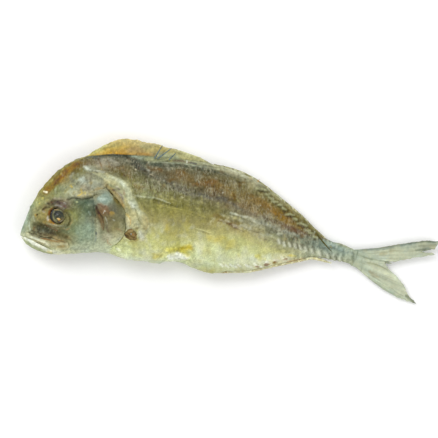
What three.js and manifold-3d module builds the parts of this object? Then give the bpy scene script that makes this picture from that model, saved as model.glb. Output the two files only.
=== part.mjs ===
// A whole trevally, split along its back, salted and dried hard, lying on its right side.
// Millimetres. While it is drawn, x runs from the snout to the tail, y from the belly to the back and
// z up from the table. At the end the fish is moved so that the middle of its footprint is the origin.
import * as THREE from "three";
import { mergeVertices } from "three/addons/utils/BufferGeometryUtils.js";
import Module from "manifold-3d";

const wasm = await Module();
wasm.setup();

// Overall sizes.
const LENGTH = 402; // snout to the tip of the upper tail lobe
const DEPTH = 158; // lower tail lobe's tip to the top of the far flank
const THICKNESS = 42; // table to the highest point of the upper flank

// Sizes of the pieces.
const CLEARANCE = 0.3; // air between neighbouring pieces
const SPLIT_DEPTH = 26; // how far the cut along the back runs in
const SPLIT_GAPE = 5; // how far the cut stands open at the back
const SPLAY = 15; // how far the lower flank stands out past the upper one
const COVER_PLATE = 2; // thickness of a gill cover
const JAW_PLATE = 1.6; // thickness of an upper jaw bone
const EYE = { across: 16, thick: 7, sunk: 2 };
const FIN_STUMP = { across: 12, thick: 6.4, sunk: 1.7 };
const TAIL_FIN_THICKNESS = 1.6;
const TAIL_FIN_TWIST = 0.09; // radians, the lower lobe down to the table
const SPINE_RADIUS = 0.9; // at the foot of a back spine
const FOLDED_FIN_RADIUS = 1.5; // half the width of a fin folded flat

// The outlines are drawn on a fish of these sizes and stretched to the ones above.
const DRAWN = { length: 402, depth: 158, thickness: 42, splay: 15 };
const ALONG = LENGTH / DRAWN.length;
const ACROSS = DEPTH / DRAWN.depth;
const THICK = THICKNESS / DRAWN.thickness;

// A smooth line through [x, value] points, x stretched with the length and the value by its own factor.
function line(points, factor) {
  const xs = points.map((p) => p[0] * ALONG);
  const values = points.map((p) => p[1] * factor);
  const curve = new THREE.CubicInterpolant(xs, values, 1, new Float64Array(1));
  return (x) => curve.evaluate(THREE.MathUtils.clamp(x, xs[0], xs.at(-1)))[0];
}

const BODY_END = 320 * ALONG;

// The back edge of the upper flank, the belly edge, and how far the lower flank stands out past the back.
const back = line(
  [
    [0, 14.4], [2, 23], [6, 33.6], [17, 53.8], [29, 68.2], [46, 83.2], [65, 90.2], [88, 92.4],
    [120, 90.6], [150, 88], [180, 84.2], [202, 78.6], [225, 68.8], [248, 51.4], [271, 32.2],
    [289, 14.6], [300, 8.6], [311, 4.8], [320, 0.5],
  ],
  ACROSS,
);
const belly = line(
  [
    [0, 14.4], [2, 10.2], [6, 6.1], [12, 2.3], [23, -2.4], [40, -4.7], [50, -3.9], [84, -3.2],
    [98, -8], [121, -11.6], [133, -13.2], [144, -10.8], [156, -13.4], [170, -19.4], [184, -22.4],
    [201, -21.6],
    [219, -21.2], [242, -16.3], [271, -10.4], [284, -8], [305, -10.6], [320, -15],
  ],
  ACROSS,
);
const splay = line(
  [[60, 0], [64, 1], [78, 7.6], [92, 13.2], [104, 15], [125, 12.9], [157, 7.6], [177, 3.4], [184, 0], [230, 0]],
  SPLAY / DRAWN.splay,
);
const farBack = (x) => back(x) + Math.max(0, splay(x));

// The plane between the flanks, and how far each flank swells from it.
const middle = line(
  [[0, 15.5], [15, 17], [50, 19.4], [80, 20], [110, 19.6], [150, 17.4], [190, 14.6], [230, 11.6],
    [260, 9.4], [290, 7.4], [320, 6]],
  THICK,
);
const upperSwell = line(
  [[0, 3], [4, 6.8], [12, 11], [26, 15.4], [48, 19.6], [78, 22], [110, 21.4], [150, 19.2],
    [190, 16.4], [230, 13], [260, 9.8], [285, 7], [303, 5.4], [320, 4]],
  THICK,
);
const lowerSwell = line(
  [[0, 3], [4, 6.4], [12, 10], [26, 13.8], [48, 16.8], [78, 19.2], [110, 19.8], [150, 18],
    [190, 15], [230, 11.6], [260, 8.8], [285, 6.2], [303, 4.8], [320, 3.6]],
  THICK,
);

// How a cross-section bulges: 1 over its widest line, 0 at the belly and back edges, rounder at the back.
const WIDEST = 1.12;
const BELLY_ROUNDNESS = 1.75;
const BACK_ROUNDNESS = 2.4;
function bulge(c) {
  return Math.sqrt(Math.max(0, 1 - Math.abs(c) ** (c < 0 ? BELLY_ROUNDNESS : BACK_ROUNDNESS)));
}
const shareOf = (c) => ((1 + c) / 2) ** (1 / WIDEST);
const crossOf = (share) => 2 * THREE.MathUtils.clamp(share, 0, 1) ** WIDEST - 1;

// The height of the skin above the table at a place on the upper or lower flank.
function skin(x, y, upper) {
  const bulged = bulge(crossOf((y - belly(x)) / (back(x) - belly(x))));
  return middle(x) + (upper ? upperSwell(x) : -lowerSwell(x)) * bulged;
}

// A closed skin: a sphere's vertices moved to place(u, angle), where u goes from 0 at one pole to 1 at
// the other and the angle goes once round. The end rings and the poles share a station, as flat caps.
function wrap(rings, sides, place) {
  const sphere = new THREE.SphereGeometry(1, sides, rings);
  const p = sphere.getAttribute("position");
  for (let i = 0; i < p.count; i++) {
    const ring = Math.round((Math.acos(THREE.MathUtils.clamp(p.getY(i), -1, 1)) / Math.PI) * rings);
    const u = THREE.MathUtils.clamp((ring - 1) / (rings - 2), 0, 1);
    const isPole = ring === 0 || ring === rings;
    const at = place(u, Math.atan2(p.getZ(i), p.getX(i)), isPole ? 0 : 1);
    p.setXYZ(i, at.x, at.y, at.z);
  }
  return solidOf(sphere);
}

function solidOf(geometry) {
  const bare = geometry.clone();
  bare.deleteAttribute("normal");
  bare.deleteAttribute("uv");
  const merged = mergeVertices(bare, 1e-4);
  return new wasm.Manifold(
    new wasm.Mesh({
      numProp: 3,
      vertProperties: new Float32Array(merged.getAttribute("position").array),
      triVerts: new Uint32Array(merged.index.array),
    }),
  );
}

function meshOf(name, solid, material) {
  const { vertProperties, triVerts } = solid.getMesh();
  const geometry = new THREE.BufferGeometry()
    .setAttribute("position", new THREE.BufferAttribute(vertProperties, 3))
    .setIndex(new THREE.BufferAttribute(triVerts, 1));
  geometry.computeVertexNormals();
  const mesh = new THREE.Mesh(geometry, material);
  mesh.name = name;
  return mesh;
}

// One layer of the fish between its belly edge and a back edge: top and bottom give the height of the
// layer's two faces above the middle plane for a place's bulge.
const BODY_RINGS = 54;
const BODY_SIDES = 28;
const SEAM = 1e-9; // both ends of the sphere's seam count as its upper side
function layer(backEdge, top, bottom) {
  return wrap(BODY_RINGS, BODY_SIDES, (u, angle, open) => {
    const x = BODY_END * u;
    const c = open * Math.cos(angle);
    const s = open * Math.sin(angle);
    const y = belly(x) + (backEdge(x) - belly(x)) * shareOf(c);
    const rise = s > -SEAM ? top(x, bulge(c)) : bottom(x, bulge(c));
    return new THREE.Vector3(x, y, middle(x) + open * rise);
  });
}

// The upper flank and the lower one share the middle plane, and the cut along the back parts them.
const INNER_SHARE = 0.06;
const upperFlank = layer(
  back,
  (x, b) => upperSwell(x) * b,
  (x, b) => -upperSwell(x) * INNER_SHARE * b,
);
const lowerFlank = layer(
  farBack,
  (x, b) => lowerSwell(x) * INNER_SHARE * b,
  (x, b) => -lowerSwell(x) * b,
);
const SPLIT_FROM = 61 * ALONG;
const SPLIT_TO = 232 * ALONG;
const SPLIT_OVERRUN = 6;
const split = wrap(30, 12, (u, angle, open) => {
  const x = SPLIT_FROM + (SPLIT_TO - SPLIT_FROM) * u;
  const root = back(x) - SPLIT_DEPTH * Math.sin(Math.PI * THREE.MathUtils.clamp(u, 0.05, 0.95)) ** 0.5;
  const mouth = farBack(x) + SPLIT_OVERRUN;
  const outward = (1 + open * Math.cos(angle)) / 2;
  const gape = SPLIT_GAPE * Math.sin(Math.PI * THREE.MathUtils.clamp(u, 0.1, 0.9));
  return new THREE.Vector3(
    x,
    root + (mouth - root) * outward,
    middle(x) + open * Math.sin(angle) * gape * outward * 0.5 + 0.12 * gape * outward,
  );
});
const whole = upperFlank.add(lowerFlank).subtract(split);

// The corners of an outline moved outwards by a distance, anticlockwise.
function outset(points, distance) {
  const ring = THREE.ShapeUtils.isClockWise(points) ? [...points].reverse() : points;
  return ring.map((p, i) => {
    const before = p.clone().sub(ring.at(i - 1)).normalize();
    const after = ring[(i + 1) % ring.length].clone().sub(p).normalize();
    const out = new THREE.Vector2(before.y + after.y, -before.x - after.x);
    return p.clone().addScaledVector(out, (2 * distance) / out.lengthSq());
  });
}

// A straight block over an outline of [x, y] corners, tall enough to pass through the whole fish.
function block(corners, grow = 0) {
  const points = corners.map(([x, y]) => new THREE.Vector2(x * ALONG, y * ACROSS));
  const shape = new THREE.Shape(outset(points, grow));
  const geometry = new THREE.ExtrudeGeometry(shape, { depth: 3 * THICKNESS, bevelEnabled: false });
  return solidOf(geometry.translate(0, 0, -THICKNESS));
}

// What lies under the skin of a flank at a depth, and on through to the other side.
const CORE = 1.2; // the least that is left at the middle plane
function under(upper, depth) {
  const swell = upper ? upperSwell : lowerSwell;
  const sign = upper ? 1 : -1;
  const face = (x, b) => sign * Math.max(CORE, swell(x) * b - depth);
  const through = () => -sign * 2 * THICKNESS;
  return upper ? layer(back, face, through) : layer(back, through, face);
}

// A plate of the skin with an outline, and the pocket in the body that it lies in.
function plate(upper, corners, thickness) {
  const flank = upper ? upperFlank : lowerFlank;
  return {
    piece: flank.intersect(block(corners)).subtract(under(upper, thickness)),
    pocket: block(corners, CLEARANCE).subtract(under(upper, thickness + CLEARANCE)),
  };
}

// A flattened ball sunk in the skin at a place, such as an eye, and its socket.
const BALL_SIDES = 18;
const BALL_RINGS = 10;
function ball(upper, [x, y], { across, thick, sunk }) {
  const sign = upper ? 1 : -1;
  const place = [x * ALONG, y * ACROSS];
  const depth = skin(...place, upper) - sign * sunk;
  const made = (gap) => {
    const geometry = new THREE.SphereGeometry(1, BALL_SIDES, BALL_RINGS);
    geometry.rotateX(Math.PI / 2);
    geometry.scale(across / 2 + gap, across / 2 + gap, thick / 2 + gap);
    return solidOf(geometry.translate(...place, depth));
  };
  return { piece: made(0), pocket: made(CLEARANCE) };
}

// A rod along a path of Vector3 points, its radius a function of the share of the path.
function rod(points, radius, rings, sides) {
  const path = new THREE.CatmullRomCurve3(points);
  return wrap(rings, sides, (u, angle, open) => {
    const along = path.getTangentAt(u);
    const side = new THREE.Vector3(-along.y, along.x, 0).normalize();
    const up = along.clone().cross(side);
    const r = open * radius(u);
    const at = path.getPointAt(u).addScaledVector(side, r * Math.cos(angle));
    return at.addScaledVector(up, r * Math.sin(angle));
  });
}

// A path made longer by a distance at both of its ends.
function lengthened(points, distance) {
  const [first, second] = points;
  const [before, last] = points.slice(-2);
  const start = first.clone().add(first.clone().sub(second).setLength(distance));
  const end = last.clone().add(last.clone().sub(before).setLength(distance));
  return [start, ...points.slice(1, -1), end];
}

// A fin folded flat along an edge of the body, ending in a ray that lies free.
function foldedFin(edge, from, to, inset, rayTip) {
  const points = [];
  const STEPS = 12;
  for (let i = 0; i <= STEPS; i++) {
    const x = (from + ((to - from) * i) / STEPS) * ALONG;
    points.push(new THREE.Vector3(x, edge(x) - inset, middle(x)));
  }
  points.push(rayTip);
  const taper = (u) => Math.min(1, 0.35 + 6 * Math.min(u, 1 - u));
  const made = (gap) =>
    rod(lengthened(points, gap), (u) => FOLDED_FIN_RADIUS * taper(u) + gap, 36, 8);
  return { piece: made(0), pocket: made(CLEARANCE) };
}

// Where the pieces lie on the fish.
const GILL_COVER = [
  [72.5, 50], [73.5, 38], [75.5, 27], [74, 14.5], [70, 5.5], [68, 2.4], [86, 2.4], [91, 5],
  [95.5, 8.5], [99.8, 14], [101.4, 21], [101.2, 36], [96.5, 44], [88.5, 52.5], [82.5, 59], [76, 55.5],
];
const UPPER_JAW = [
  [6.6, 16.6], [26, 12], [46, 7], [47.5, 2.4], [41, 0.4], [30, 2.6], [16, 9.4], [6.2, 13.6],
];
const LOWER_JAW = [[-4, 12.6], [4.5, 12.4], [15, 7.4], [30, 0.2], [33, -8], [-4, -8]];
const EYE_AT = [37.2, 32.8];
const FIN_STUMP_AT = [107.2, 15.6];

const pieces = {};
let body = whole;
function add(name, { piece, pocket }) {
  pieces[name] = piece;
  body = body.subtract(pocket);
}
for (const [side, upper] of [["left", true], ["right", false]]) {
  add(`${side}_gill_cover`, plate(upper, GILL_COVER, COVER_PLATE));
  add(`${side}_upper_jaw`, plate(upper, UPPER_JAW, JAW_PLATE));
  add(`${side}_eye`, ball(upper, EYE_AT, EYE));
  const stump = ball(upper, FIN_STUMP_AT, FIN_STUMP);
  add(`${side}_pectoral_fin_stump`, stump);
  pieces[`${side}_gill_cover`] = pieces[`${side}_gill_cover`].subtract(stump.pocket);
}
add("lower_jaw", { piece: whole.intersect(block(LOWER_JAW)), pocket: block(LOWER_JAW, CLEARANCE) });

// The soft back fin and the anal fin lie folded, and their last rays lie over the root of the tail.
const BACK_FIN = { from: 186, to: 290, rayTip: [299.5, 1.5] };
const ANAL_FIN = { from: 186, to: 280, rayTip: [299, -12.6] };
const foldedRay = ([x, y], lift) =>
  new THREE.Vector3(x * ALONG, y * ACROSS, middle(x * ALONG) + lift);
const RAY_LIFT = 6;
add(
  "soft_back_fin",
  foldedFin(back, BACK_FIN.from, BACK_FIN.to, 0.8, foldedRay(BACK_FIN.rayTip, RAY_LIFT)),
);
add(
  "anal_fin",
  foldedFin((x) => belly(x) + 1.6, ANAL_FIN.from, ANAL_FIN.to, 0.8, foldedRay(ANAL_FIN.rayTip, 0)),
);

// Three broken spines of the first back fin, each from its foot on the back edge to its tip.
const SPINES = [
  { foot: [129, 87.6], tip: [136.8, 100.3] },
  { foot: [132, 87.4], tip: [145.6, 97.6] },
  { foot: [143, 86.2], tip: [149.8, 93.1] },
];
SPINES.forEach(({ foot, tip }, i) => {
  const lift = SPINE_RADIUS + 2 * CLEARANCE;
  const start = new THREE.Vector3(foot[0] * ALONG, foot[1] * ACROSS, 0);
  start.z = skin(start.x, start.y, true) + lift;
  const end = new THREE.Vector3(tip[0] * ALONG, tip[1] * ACROSS, start.z + 0.4 * i);
  pieces[`back_spine_${i + 1}`] = rod(
    [start, start.clone().lerp(end, 0.5), end],
    (u) => SPINE_RADIUS * (1 - 0.6 * u),
    8,
    6,
  );
});

// The forked tail fin, one flat blade with a torn upper lobe, butted against the root of the tail.
const TAIL_ROOT = { top: 0.2, bottom: -14.6 };
const UPPER_LOBE = [
  [345, 2.2], [362, 5.2], [379, 7.7], [393, 9.2], [401.6, 8.2], [401.6, 5.6], [398.4, 0.7],
  [383, -1.8], [395.5, -2.8], [399, -4.4], [379, -7.4], [361, -11], [350, -11.2],
];
const LOWER_LOBE = [
  [352, -15.4], [356, -20.4], [361, -24.8], [366, -30.6], [369.6, -36], [373.4, -44.4],
  [381, -52], [370, -48.6], [361.4, -45.2], [348.6, -37.9], [336.2, -28.4],
];
function tailFin() {
  const root = BODY_END + CLEARANCE;
  const outline = [...UPPER_LOBE, ...LOWER_LOBE].map(
    ([x, y]) => new THREE.Vector2(x * ALONG, y * ACROSS),
  );
  outline.unshift(new THREE.Vector2(root, TAIL_ROOT.top * ACROSS));
  outline.push(new THREE.Vector2(root, TAIL_ROOT.bottom * ACROSS));
  const blade = new THREE.ExtrudeGeometry(new THREE.Shape(outline), {
    depth: TAIL_FIN_THICKNESS,
    bevelEnabled: false,
  });
  const pivot = ((TAIL_ROOT.top + TAIL_ROOT.bottom) / 2) * ACROSS;
  blade.translate(0, -pivot, -TAIL_FIN_THICKNESS / 2);
  blade.rotateX(TAIL_FIN_TWIST);
  return solidOf(blade.translate(0, pivot, middle(BODY_END)));
}
pieces.tail_fin = tailFin();

// The lower flank dried flat against the table.
const TABLE_THICKNESS = 50;
const table = solidOf(
  new THREE.BoxGeometry(3 * LENGTH, 3 * DEPTH, TABLE_THICKNESS).translate(0, 0, -TABLE_THICKNESS / 2),
);
pieces.body = body;

const FINISHES = {
  skin: { color: 0x8f8a5c, roughness: 0.55, metalness: 0.05 },
  bone: { color: 0x8d8a70, roughness: 0.5, metalness: 0.05 },
  eye: { color: 0x3c3a2a, roughness: 0.25, metalness: 0 },
  fin: { color: 0xb9ba98, roughness: 0.6, metalness: 0 },
};
const finishOf = (name) => {
  if (/eye/.test(name)) return FINISHES.eye;
  if (/gill_cover|jaw/.test(name)) return FINISHES.bone;
  return /fin|spine/.test(name) ? FINISHES.fin : FINISHES.skin;
};

const fish = new THREE.Group();
fish.name = "dried_fish";
for (const [name, solid] of Object.entries(pieces)) {
  const material = new THREE.MeshStandardMaterial(finishOf(name));
  fish.add(meshOf(name, solid.subtract(table), material));
}
const box = new THREE.Box3().setFromObject(fish);
const middleOfBox = box.getCenter(new THREE.Vector3());
fish.position.set(-middleOfBox.x, -middleOfBox.y, -box.min.z);

export default fish;
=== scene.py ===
"""Looks of the dried fish: a humpbacked fish split down the back, salted, dried and laid on its right side."""

import bmesh
import bpy
import numpy as np
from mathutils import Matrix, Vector
from mathutils.bvhtree import BVHTree


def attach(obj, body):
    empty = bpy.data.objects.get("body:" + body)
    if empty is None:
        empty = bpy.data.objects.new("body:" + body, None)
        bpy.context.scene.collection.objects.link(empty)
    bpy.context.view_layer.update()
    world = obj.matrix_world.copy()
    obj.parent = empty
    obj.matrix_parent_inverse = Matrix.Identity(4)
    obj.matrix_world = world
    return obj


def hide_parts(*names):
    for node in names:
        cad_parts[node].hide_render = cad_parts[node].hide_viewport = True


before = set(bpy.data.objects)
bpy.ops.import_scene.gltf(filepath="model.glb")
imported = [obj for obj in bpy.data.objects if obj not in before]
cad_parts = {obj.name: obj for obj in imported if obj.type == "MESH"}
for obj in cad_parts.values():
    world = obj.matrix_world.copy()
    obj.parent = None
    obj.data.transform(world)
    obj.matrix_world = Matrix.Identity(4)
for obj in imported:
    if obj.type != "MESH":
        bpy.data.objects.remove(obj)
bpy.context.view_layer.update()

# Fish millimetres: x runs from the snout's tip to the tail, y from the top of the tail's root towards the back,
# z up from the table. A place in the frame, in millimetres, becomes one of them when SNOUT is added.
MM = 1000.0
SNOUT = np.array([200.8, 27.42, 0.0])


def colour(code):
    """A colour given as its six usual hex digits, as linear light."""
    share = np.array([int(code[i : i + 2], 16) for i in (0, 2, 4)]) / 255.0
    return np.where(share <= 0.04045, share / 12.92, ((share + 0.055) / 1.055) ** 2.4)


def ramp(low, high, value):
    """0 below low, 1 above high, and smooth in between."""
    share = np.clip((value - low) / (high - low), 0.0, 1.0)
    return share * share * (3.0 - 2.0 * share)


def mottle(points, size, seed):
    """Smooth irregular blotches about this many millimetres across, from -1 to 1."""
    place = points / size + seed * 17.31
    cell = np.floor(place).astype(np.int64)
    share = place - cell
    share = share * share * (3.0 - 2.0 * share)
    total = np.zeros(len(points))
    for corner in np.ndindex(2, 2, 2):
        at = cell + np.array(corner)
        mix = at[:, 0] * 73856093 ^ at[:, 1] * 19349663 ^ at[:, 2] * 83492791
        mix = (mix * 2654435761 + 12345) & 0xFFFFFFFF
        mix = ((mix >> 15) ^ mix) * 2246822519 & 0xFFFFFFFF
        value = ((mix >> 13) & 0xFFFF) / 32767.5 - 1.0
        weight = np.prod(np.where(np.array(corner) == 1, share, 1.0 - share), axis=1)
        total += value * weight
    return total


def blotches(points, size, seed, layers=3):
    """Blotches with finer ones inside them."""
    total = np.zeros(len(points))
    for layer in range(layers):
        total += mottle(points, size / 2.0**layer, seed + layer) * 0.6**layer
    return total / 1.4


def drift(points, size, seed, other, layers=2):
    """Uneven steps along and across the fish that keep marks and edges from running straight."""
    return np.stack([blotches(points, size, seed, layers), blotches(points, size, other, layers)], axis=1)


def nearness(place, path):
    """Distance of each place to a path of points, and the share of the path that it is at."""
    path = np.array(path, float).reshape(-1, 2)
    if len(path) == 1:
        return np.hypot(*(place - path[0]).T), np.zeros(len(place))
    best = np.full(len(place), 1e9)
    share = np.zeros(len(place))
    for i, (a, b) in enumerate(zip(path[:-1], path[1:])):
        along = b - a
        t = np.clip((place - a) @ along / (along @ along), 0.0, 1.0)
        far = np.hypot(*(place - a - t[:, None] * along).T)
        nearer = far < best
        best = np.where(nearer, far, best)
        share = np.where(nearer, (i + t) / (len(path) - 1), share)
    return best, share


def inside(place, outline, soft):
    """1 inside a closed outline, 0 outside, over a soft edge this many millimetres wide."""
    outline = np.array(outline, float)
    distance = nearness(place, np.vstack([outline, outline[:1]]))[0]
    within = np.zeros(len(place), bool)
    for a, b in zip(outline, np.roll(outline, -1, axis=0)):
        crosses = (a[1] > place[:, 1]) != (b[1] > place[:, 1])
        rise = np.where(b[1] == a[1], 1e-9, b[1] - a[1])
        within ^= crosses & (place[:, 0] < a[0] + (place[:, 1] - a[1]) / rise * (b[0] - a[0]))
    return ramp(-soft / 2, soft / 2, np.where(within, distance, -distance))


def coat(rgb, cover, code):
    """Lays a colour over what is there, as thickly as its cover says."""
    rgb += (colour(code) - rgb) * cover[:, None]


def fray(points, seed):
    """Two sets of small blotches that make the edges and the cover of marks uneven."""
    return blotches(points, 2.6, seed, 2), blotches(points, 3.4, seed + 4, 2)


def brush(rgb, place, marks, frayed):
    """Lays marks one over another: colour, strength, width, softness and the path of each, tapered to its ends."""
    edge, cover = frayed
    for code, strength, width, soft, path in marks:
        distance, share = nearness(place, path)
        half = width / 2.0
        if len(path) > 1:
            half = half * (0.5 + 0.5 * np.sin(np.pi * np.clip(share, 0.02, 0.98)) ** 0.5)
        distance = distance + 0.22 * min(width, 5.0) * edge
        laid = 1.0 - ramp(half * (1.0 - soft), half * (1.0 + soft), distance)
        coat(rgb, strength * laid * np.clip(0.85 + 0.5 * cover, 0.0, 1.0), code)


# The edge of the skin along the back, where the fish was split.
BACK_LINE = [(0, 14.4), (2, 23), (6, 33.6), (17, 53.8), (29, 68.2), (46, 83.2), (65, 90.2), (88, 92.4),
             (120, 90.6), (150, 88), (180, 84.2), (202, 78.6), (225, 68.8), (248, 51.4), (271, 32.2),
             (289, 14.6), (300, 8.6), (311, 4.8), (320, 0.5)]

# Colours of the trunk's skin along lines that run from head to tail, lowest line first: x, y and colour.
SKIN_LINES = [
    [(90, -8, "d8dcb4"), (110, -11, "dfe4c6"), (128, -13, "c9cfae"), (150, -13, "c8d0b2"), (165, -18, "ccd2a6"),
     (183, -23, "c0c492"), (205, -22, "c6c89c"), (222, -20, "c8c9a4"), (245, -16, "d0d0ae"), (270, -11, "c4b288"),
     (290, -9, "a8a888"), (320, -15, "a3a888")],
    [(90, 1, "cbd096"), (112, -4, "d9dfa6"), (130, -6, "d4d6a4"), (150, -4, "d6d890"), (170, -8, "cdd3a4"),
     (190, -13, "ccd2a2"), (210, -13, "d2d6ae"), (235, -9, "d6d9b4"), (255, -6, "d2d2ac"), (275, -5, "a4a684"),
     (300, -8, "b0b498"), (320, -12, "b8bca0")],
    [(90, 10, "b5b67e"), (115, 6, "c4c58a"), (135, 3, "c8c984"), (152, 2, "cbc878"), (175, 2, "cccf94"),
     (195, -3, "cdd29c"), (215, -3, "ced298"), (235, -2, "c9c884"), (255, -1, "b5b380"), (275, -1, "b4b496"),
     (300, -4, "b0b8a8"), (320, -9, "b2b89c")],
    [(90, 20, "a5a078"), (115, 17, "b6b485"), (135, 17, "b0ab62"), (155, 17, "a39c58"), (175, 15, "b3b076"),
     (195, 12, "c2bf7c"), (213, 8, "bebd78"), (230, 5, "bab97a"), (250, 3, "b0ae7e"), (270, 2, "9a9a84"),
     (300, -1, "a4b09e"), (320, -6, "aab29a")],
    [(90, 33, "a39a72"), (115, 30, "a59f70"), (130, 30, "9c9452"), (150, 27, "8a8350"), (170, 25, "8c844c"),
     (190, 23, "9a9054"), (208, 20, "a0955c"), (225, 15, "a49f70"), (245, 9, "a8a47c"), (265, 5, "86846c"),
     (300, 2, "8c9c92"), (320, -3, "96a094")],
    [(90, 44, "9d9572"), (115, 41, "9d9660"), (130, 39, "8f8a4c"), (150, 37, "8f884c"), (170, 34, "837c46"),
     (190, 30, "8a8048"), (206, 26, "8a7f50"), (222, 21, "a29c78"), (240, 16, "908d6c"), (262, 10, "70755e"),
     (300, 5, "869488"), (320, 0, "9aa592")],
    [(90, 54, "9a946e"), (113, 50, "8c8a5c"), (130, 47.5, "80794a"), (150, 43, "7e7844"), (170, 40, "7a7446"),
     (190, 37, "7c754c"), (206, 33, "7f7a58"), (225, 28, "9a967c"), (245, 22, "96957f"), (266, 14, "80826e"),
     (300, 7, "9aa694"), (320, 1.5, "b0b090")],
    [(90, 64, "a4a682"), (112, 60, "888860"), (130, 57, "86865e"), (150, 53, "7c784e"), (170, 47, "7c7852"),
     (188, 44, "7c7452"), (206, 40, "7d7258"), (225, 34, "82745c"), (245, 27, "7f705a"), (262, 20, "7a6454"),
     (283, 12, "767060"), (300, 8, "8c958a"), (320, 2, "b4b28e")],
    [(90, 72, "7d7858"), (112, 68, "686442"), (130, 64, "75735a"), (150, 60, "6f6c58"), (170, 53, "6e6852"),
     (190, 49, "6f6656"), (206, 45, "776850"), (225, 39, "84714c"), (245, 31, "86703f"), (262, 24, "86703e"),
     (283, 14, "7a6444"), (320, 3, "b4b28e")],
    [(90, 80, "776c50"), (112, 77, "5e5940"), (130, 75, "65604c"), (150, 72, "705f42"), (170, 67, "71603e"),
     (190, 61, "755f3a"), (208, 53, "7f7048"), (225, 46, "84704a"), (243, 38, "846a3a"), (258, 30, "866a38"),
     (285, 14, "6c5c34"), (320, 3, "b4b28e")],
    [(90, 87, "75705c"), (112, 84, "5a5c50"), (130, 82, "5f6252"), (150, 80, "62604a"), (170, 77, "64604a"),
     (190, 73, "666046"), (208, 66, "6f6646"), (225, 58, "827c58"), (243, 48, "8a8258"), (258, 37, "7a6a36"),
     (285, 16, "6a6030"), (320, 3, "b4b28e")],
    [(90, 92, "3c4440"), (103, 91.5, "434a44"), (112, 91, "808a78"), (130, 90, "989a74"), (150, 88, "9a9c7c"),
     (180, 84, "a2a284"), (202, 78, "b8b698"), (225, 68, "b2b094"), (248, 51, "a49e74"), (271, 32, "8a8254"),
     (289, 15, "827c50"), (300, 9, "98a094"), (320, 3, "c0ba94")],
]

# The head's skin in front of the shoulder, the same way.
HEAD_LINES = [
    [(0, -2, "b0b490"), (20, -4, "b4b88e"), (38, -5, "c8c898"), (60, -4, "c6cbb0"), (80, -3, "c8cdb0"),
     (100, -8, "d2d6ae")],
    [(0, 8, "a0a684"), (10, 3, "a6aa84"), (25, 0, "aab088"), (42, 1, "b8b68c"), (60, 3, "b4bc9e"),
     (80, 3, "bcc2a6"), (100, 2, "cfd49a")],
    [(0, 14, "c4c8a8"), (12, 11, "bdb894"), (30, 9, "a89468"), (45, 9, "8c8560"), (60, 11, "98a488"),
     (70, 11, "9aa48a"), (85, 12, "a8a68c"), (100, 12, "b2ae84")],
    # This line crosses the hollow under the eye, where its dark is partly painted shade.
    [(0, 20, "94a290"), (10, 21, "949472"), (22, 20, "5c5a40"), (38, 18, "605c42"), (52, 20, "7e8866"),
     (66, 20, "8c9c88"), (76, 20, "8c8a6c"), (90, 21, "87805c"), (101, 22, "84805c")],
    [(2, 28, "8fa294"), (10, 30, "8e9476"), (20, 30, "9a8a54"), (34, 26, "8a7a50"), (50, 29, "808258"),
     (64, 29, "87907a"), (74, 29, "726c52"), (86, 30, "7a7052"), (101, 31, "77735a")],
    [(4, 34, "95a68e"), (12, 38, "8e8f6c"), (24, 38, "978c5c"), (40, 37, "5a5040"), (52, 37, "7c7c54"),
     (64, 37, "6c745a"), (72, 37, "5c5c48"), (80, 38, "86664a"), (90, 39, "716e5a"), (100, 38, "6c684a")],
    [(9, 42, "95a484"), (18, 45, "a09f68"), (30, 46, "87805c"), (42, 45, "86786a"), (52, 45, "6c6c50"),
     (64, 45, "5c6752"), (74, 46, "868c7c"), (84, 47, "93a294"), (94, 47, "70673e")],
    [(14, 51, "a09c66"), (24, 51, "827c4e"), (36, 53, "868860"), (48, 52, "a0a082"), (60, 52, "a49e80"),
     (72, 53, "8f8a6a"), (82, 54, "8a9080"), (92, 54, "8e8254")],
    [(20, 58, "958c4c"), (27, 58, "80682e"), (36, 60, "8c8c5c"), (48, 60, "9ca084"), (60, 61, "a2a28a"),
     (72, 61, "a8a892"), (82, 62, "9a9270"), (92, 62, "b8b694")],
    [(28, 66, "8f8648"), (35, 66, "7c5e26"), (44, 67, "8c8056"), (56, 70, "808060"), (68, 70, "98967e"),
     (80, 70, "949476"), (92, 68, "a4a484")],
    [(38, 76, "8a8046"), (44, 76, "80601f"), (54, 76, "6c6238"), (66, 76, "80805c"), (78, 77, "8f8870"),
     (92, 76, "736b49")],
    [(46, 82.5, "8a8448"), (56, 83, "80602c"), (66, 84, "74644e"), (78, 84, "938a78"), (92, 84, "857c68")],
    [(46, 84, "8a8650"), (60, 88.5, "7c7650"), (68, 90.5, "565a48"), (78, 92, "3c4240"), (92, 92.5, "3a4340")],
]


def back_at(x):
    """How far up the edge of the back lies at each place along the fish."""
    edge = np.array(BACK_LINE)
    return np.interp(x, edge[:, 0], edge[:, 1])


def across_lines(place, lines):
    """The colour at each place between lines of colour like those above."""
    heights = np.array([np.interp(place[:, 0], [p[0] for p in line], [p[1] for p in line]) for line in lines])
    shades = np.array([
        np.stack([np.interp(place[:, 0], [p[0] for p in line], [colour(p[2])[k] for p in line])
                  for k in range(3)], axis=1)
        for line in lines
    ])
    heights = np.maximum.accumulate(heights, axis=0)
    rgb = shades[0].copy()
    for low, high, shade in zip(heights[:-1], heights[1:], shades[1:]):
        share = ramp(0.0, 1.0, (place[:, 1] - low) / np.maximum(high - low, 0.3))
        rgb += (shade - rgb) * share[:, None]
    return rgb


# Where the head's skin ends behind the gill cover, from the back down to the breast.
SHOULDER = [(76, 92), (84, 80), (86, 66), (84, 60), (88.5, 54.5), (97.5, 43.5), (101.5, 36), (102, 21), (99.8, 13),
            (95, 8), (88, 2), (84, -8)]

FOREHEAD_STREAK = [(24, 55.5), (33, 63), (40, 70), (46, 75.5), (52.5, 80.5), (57, 82.5)]

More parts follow.
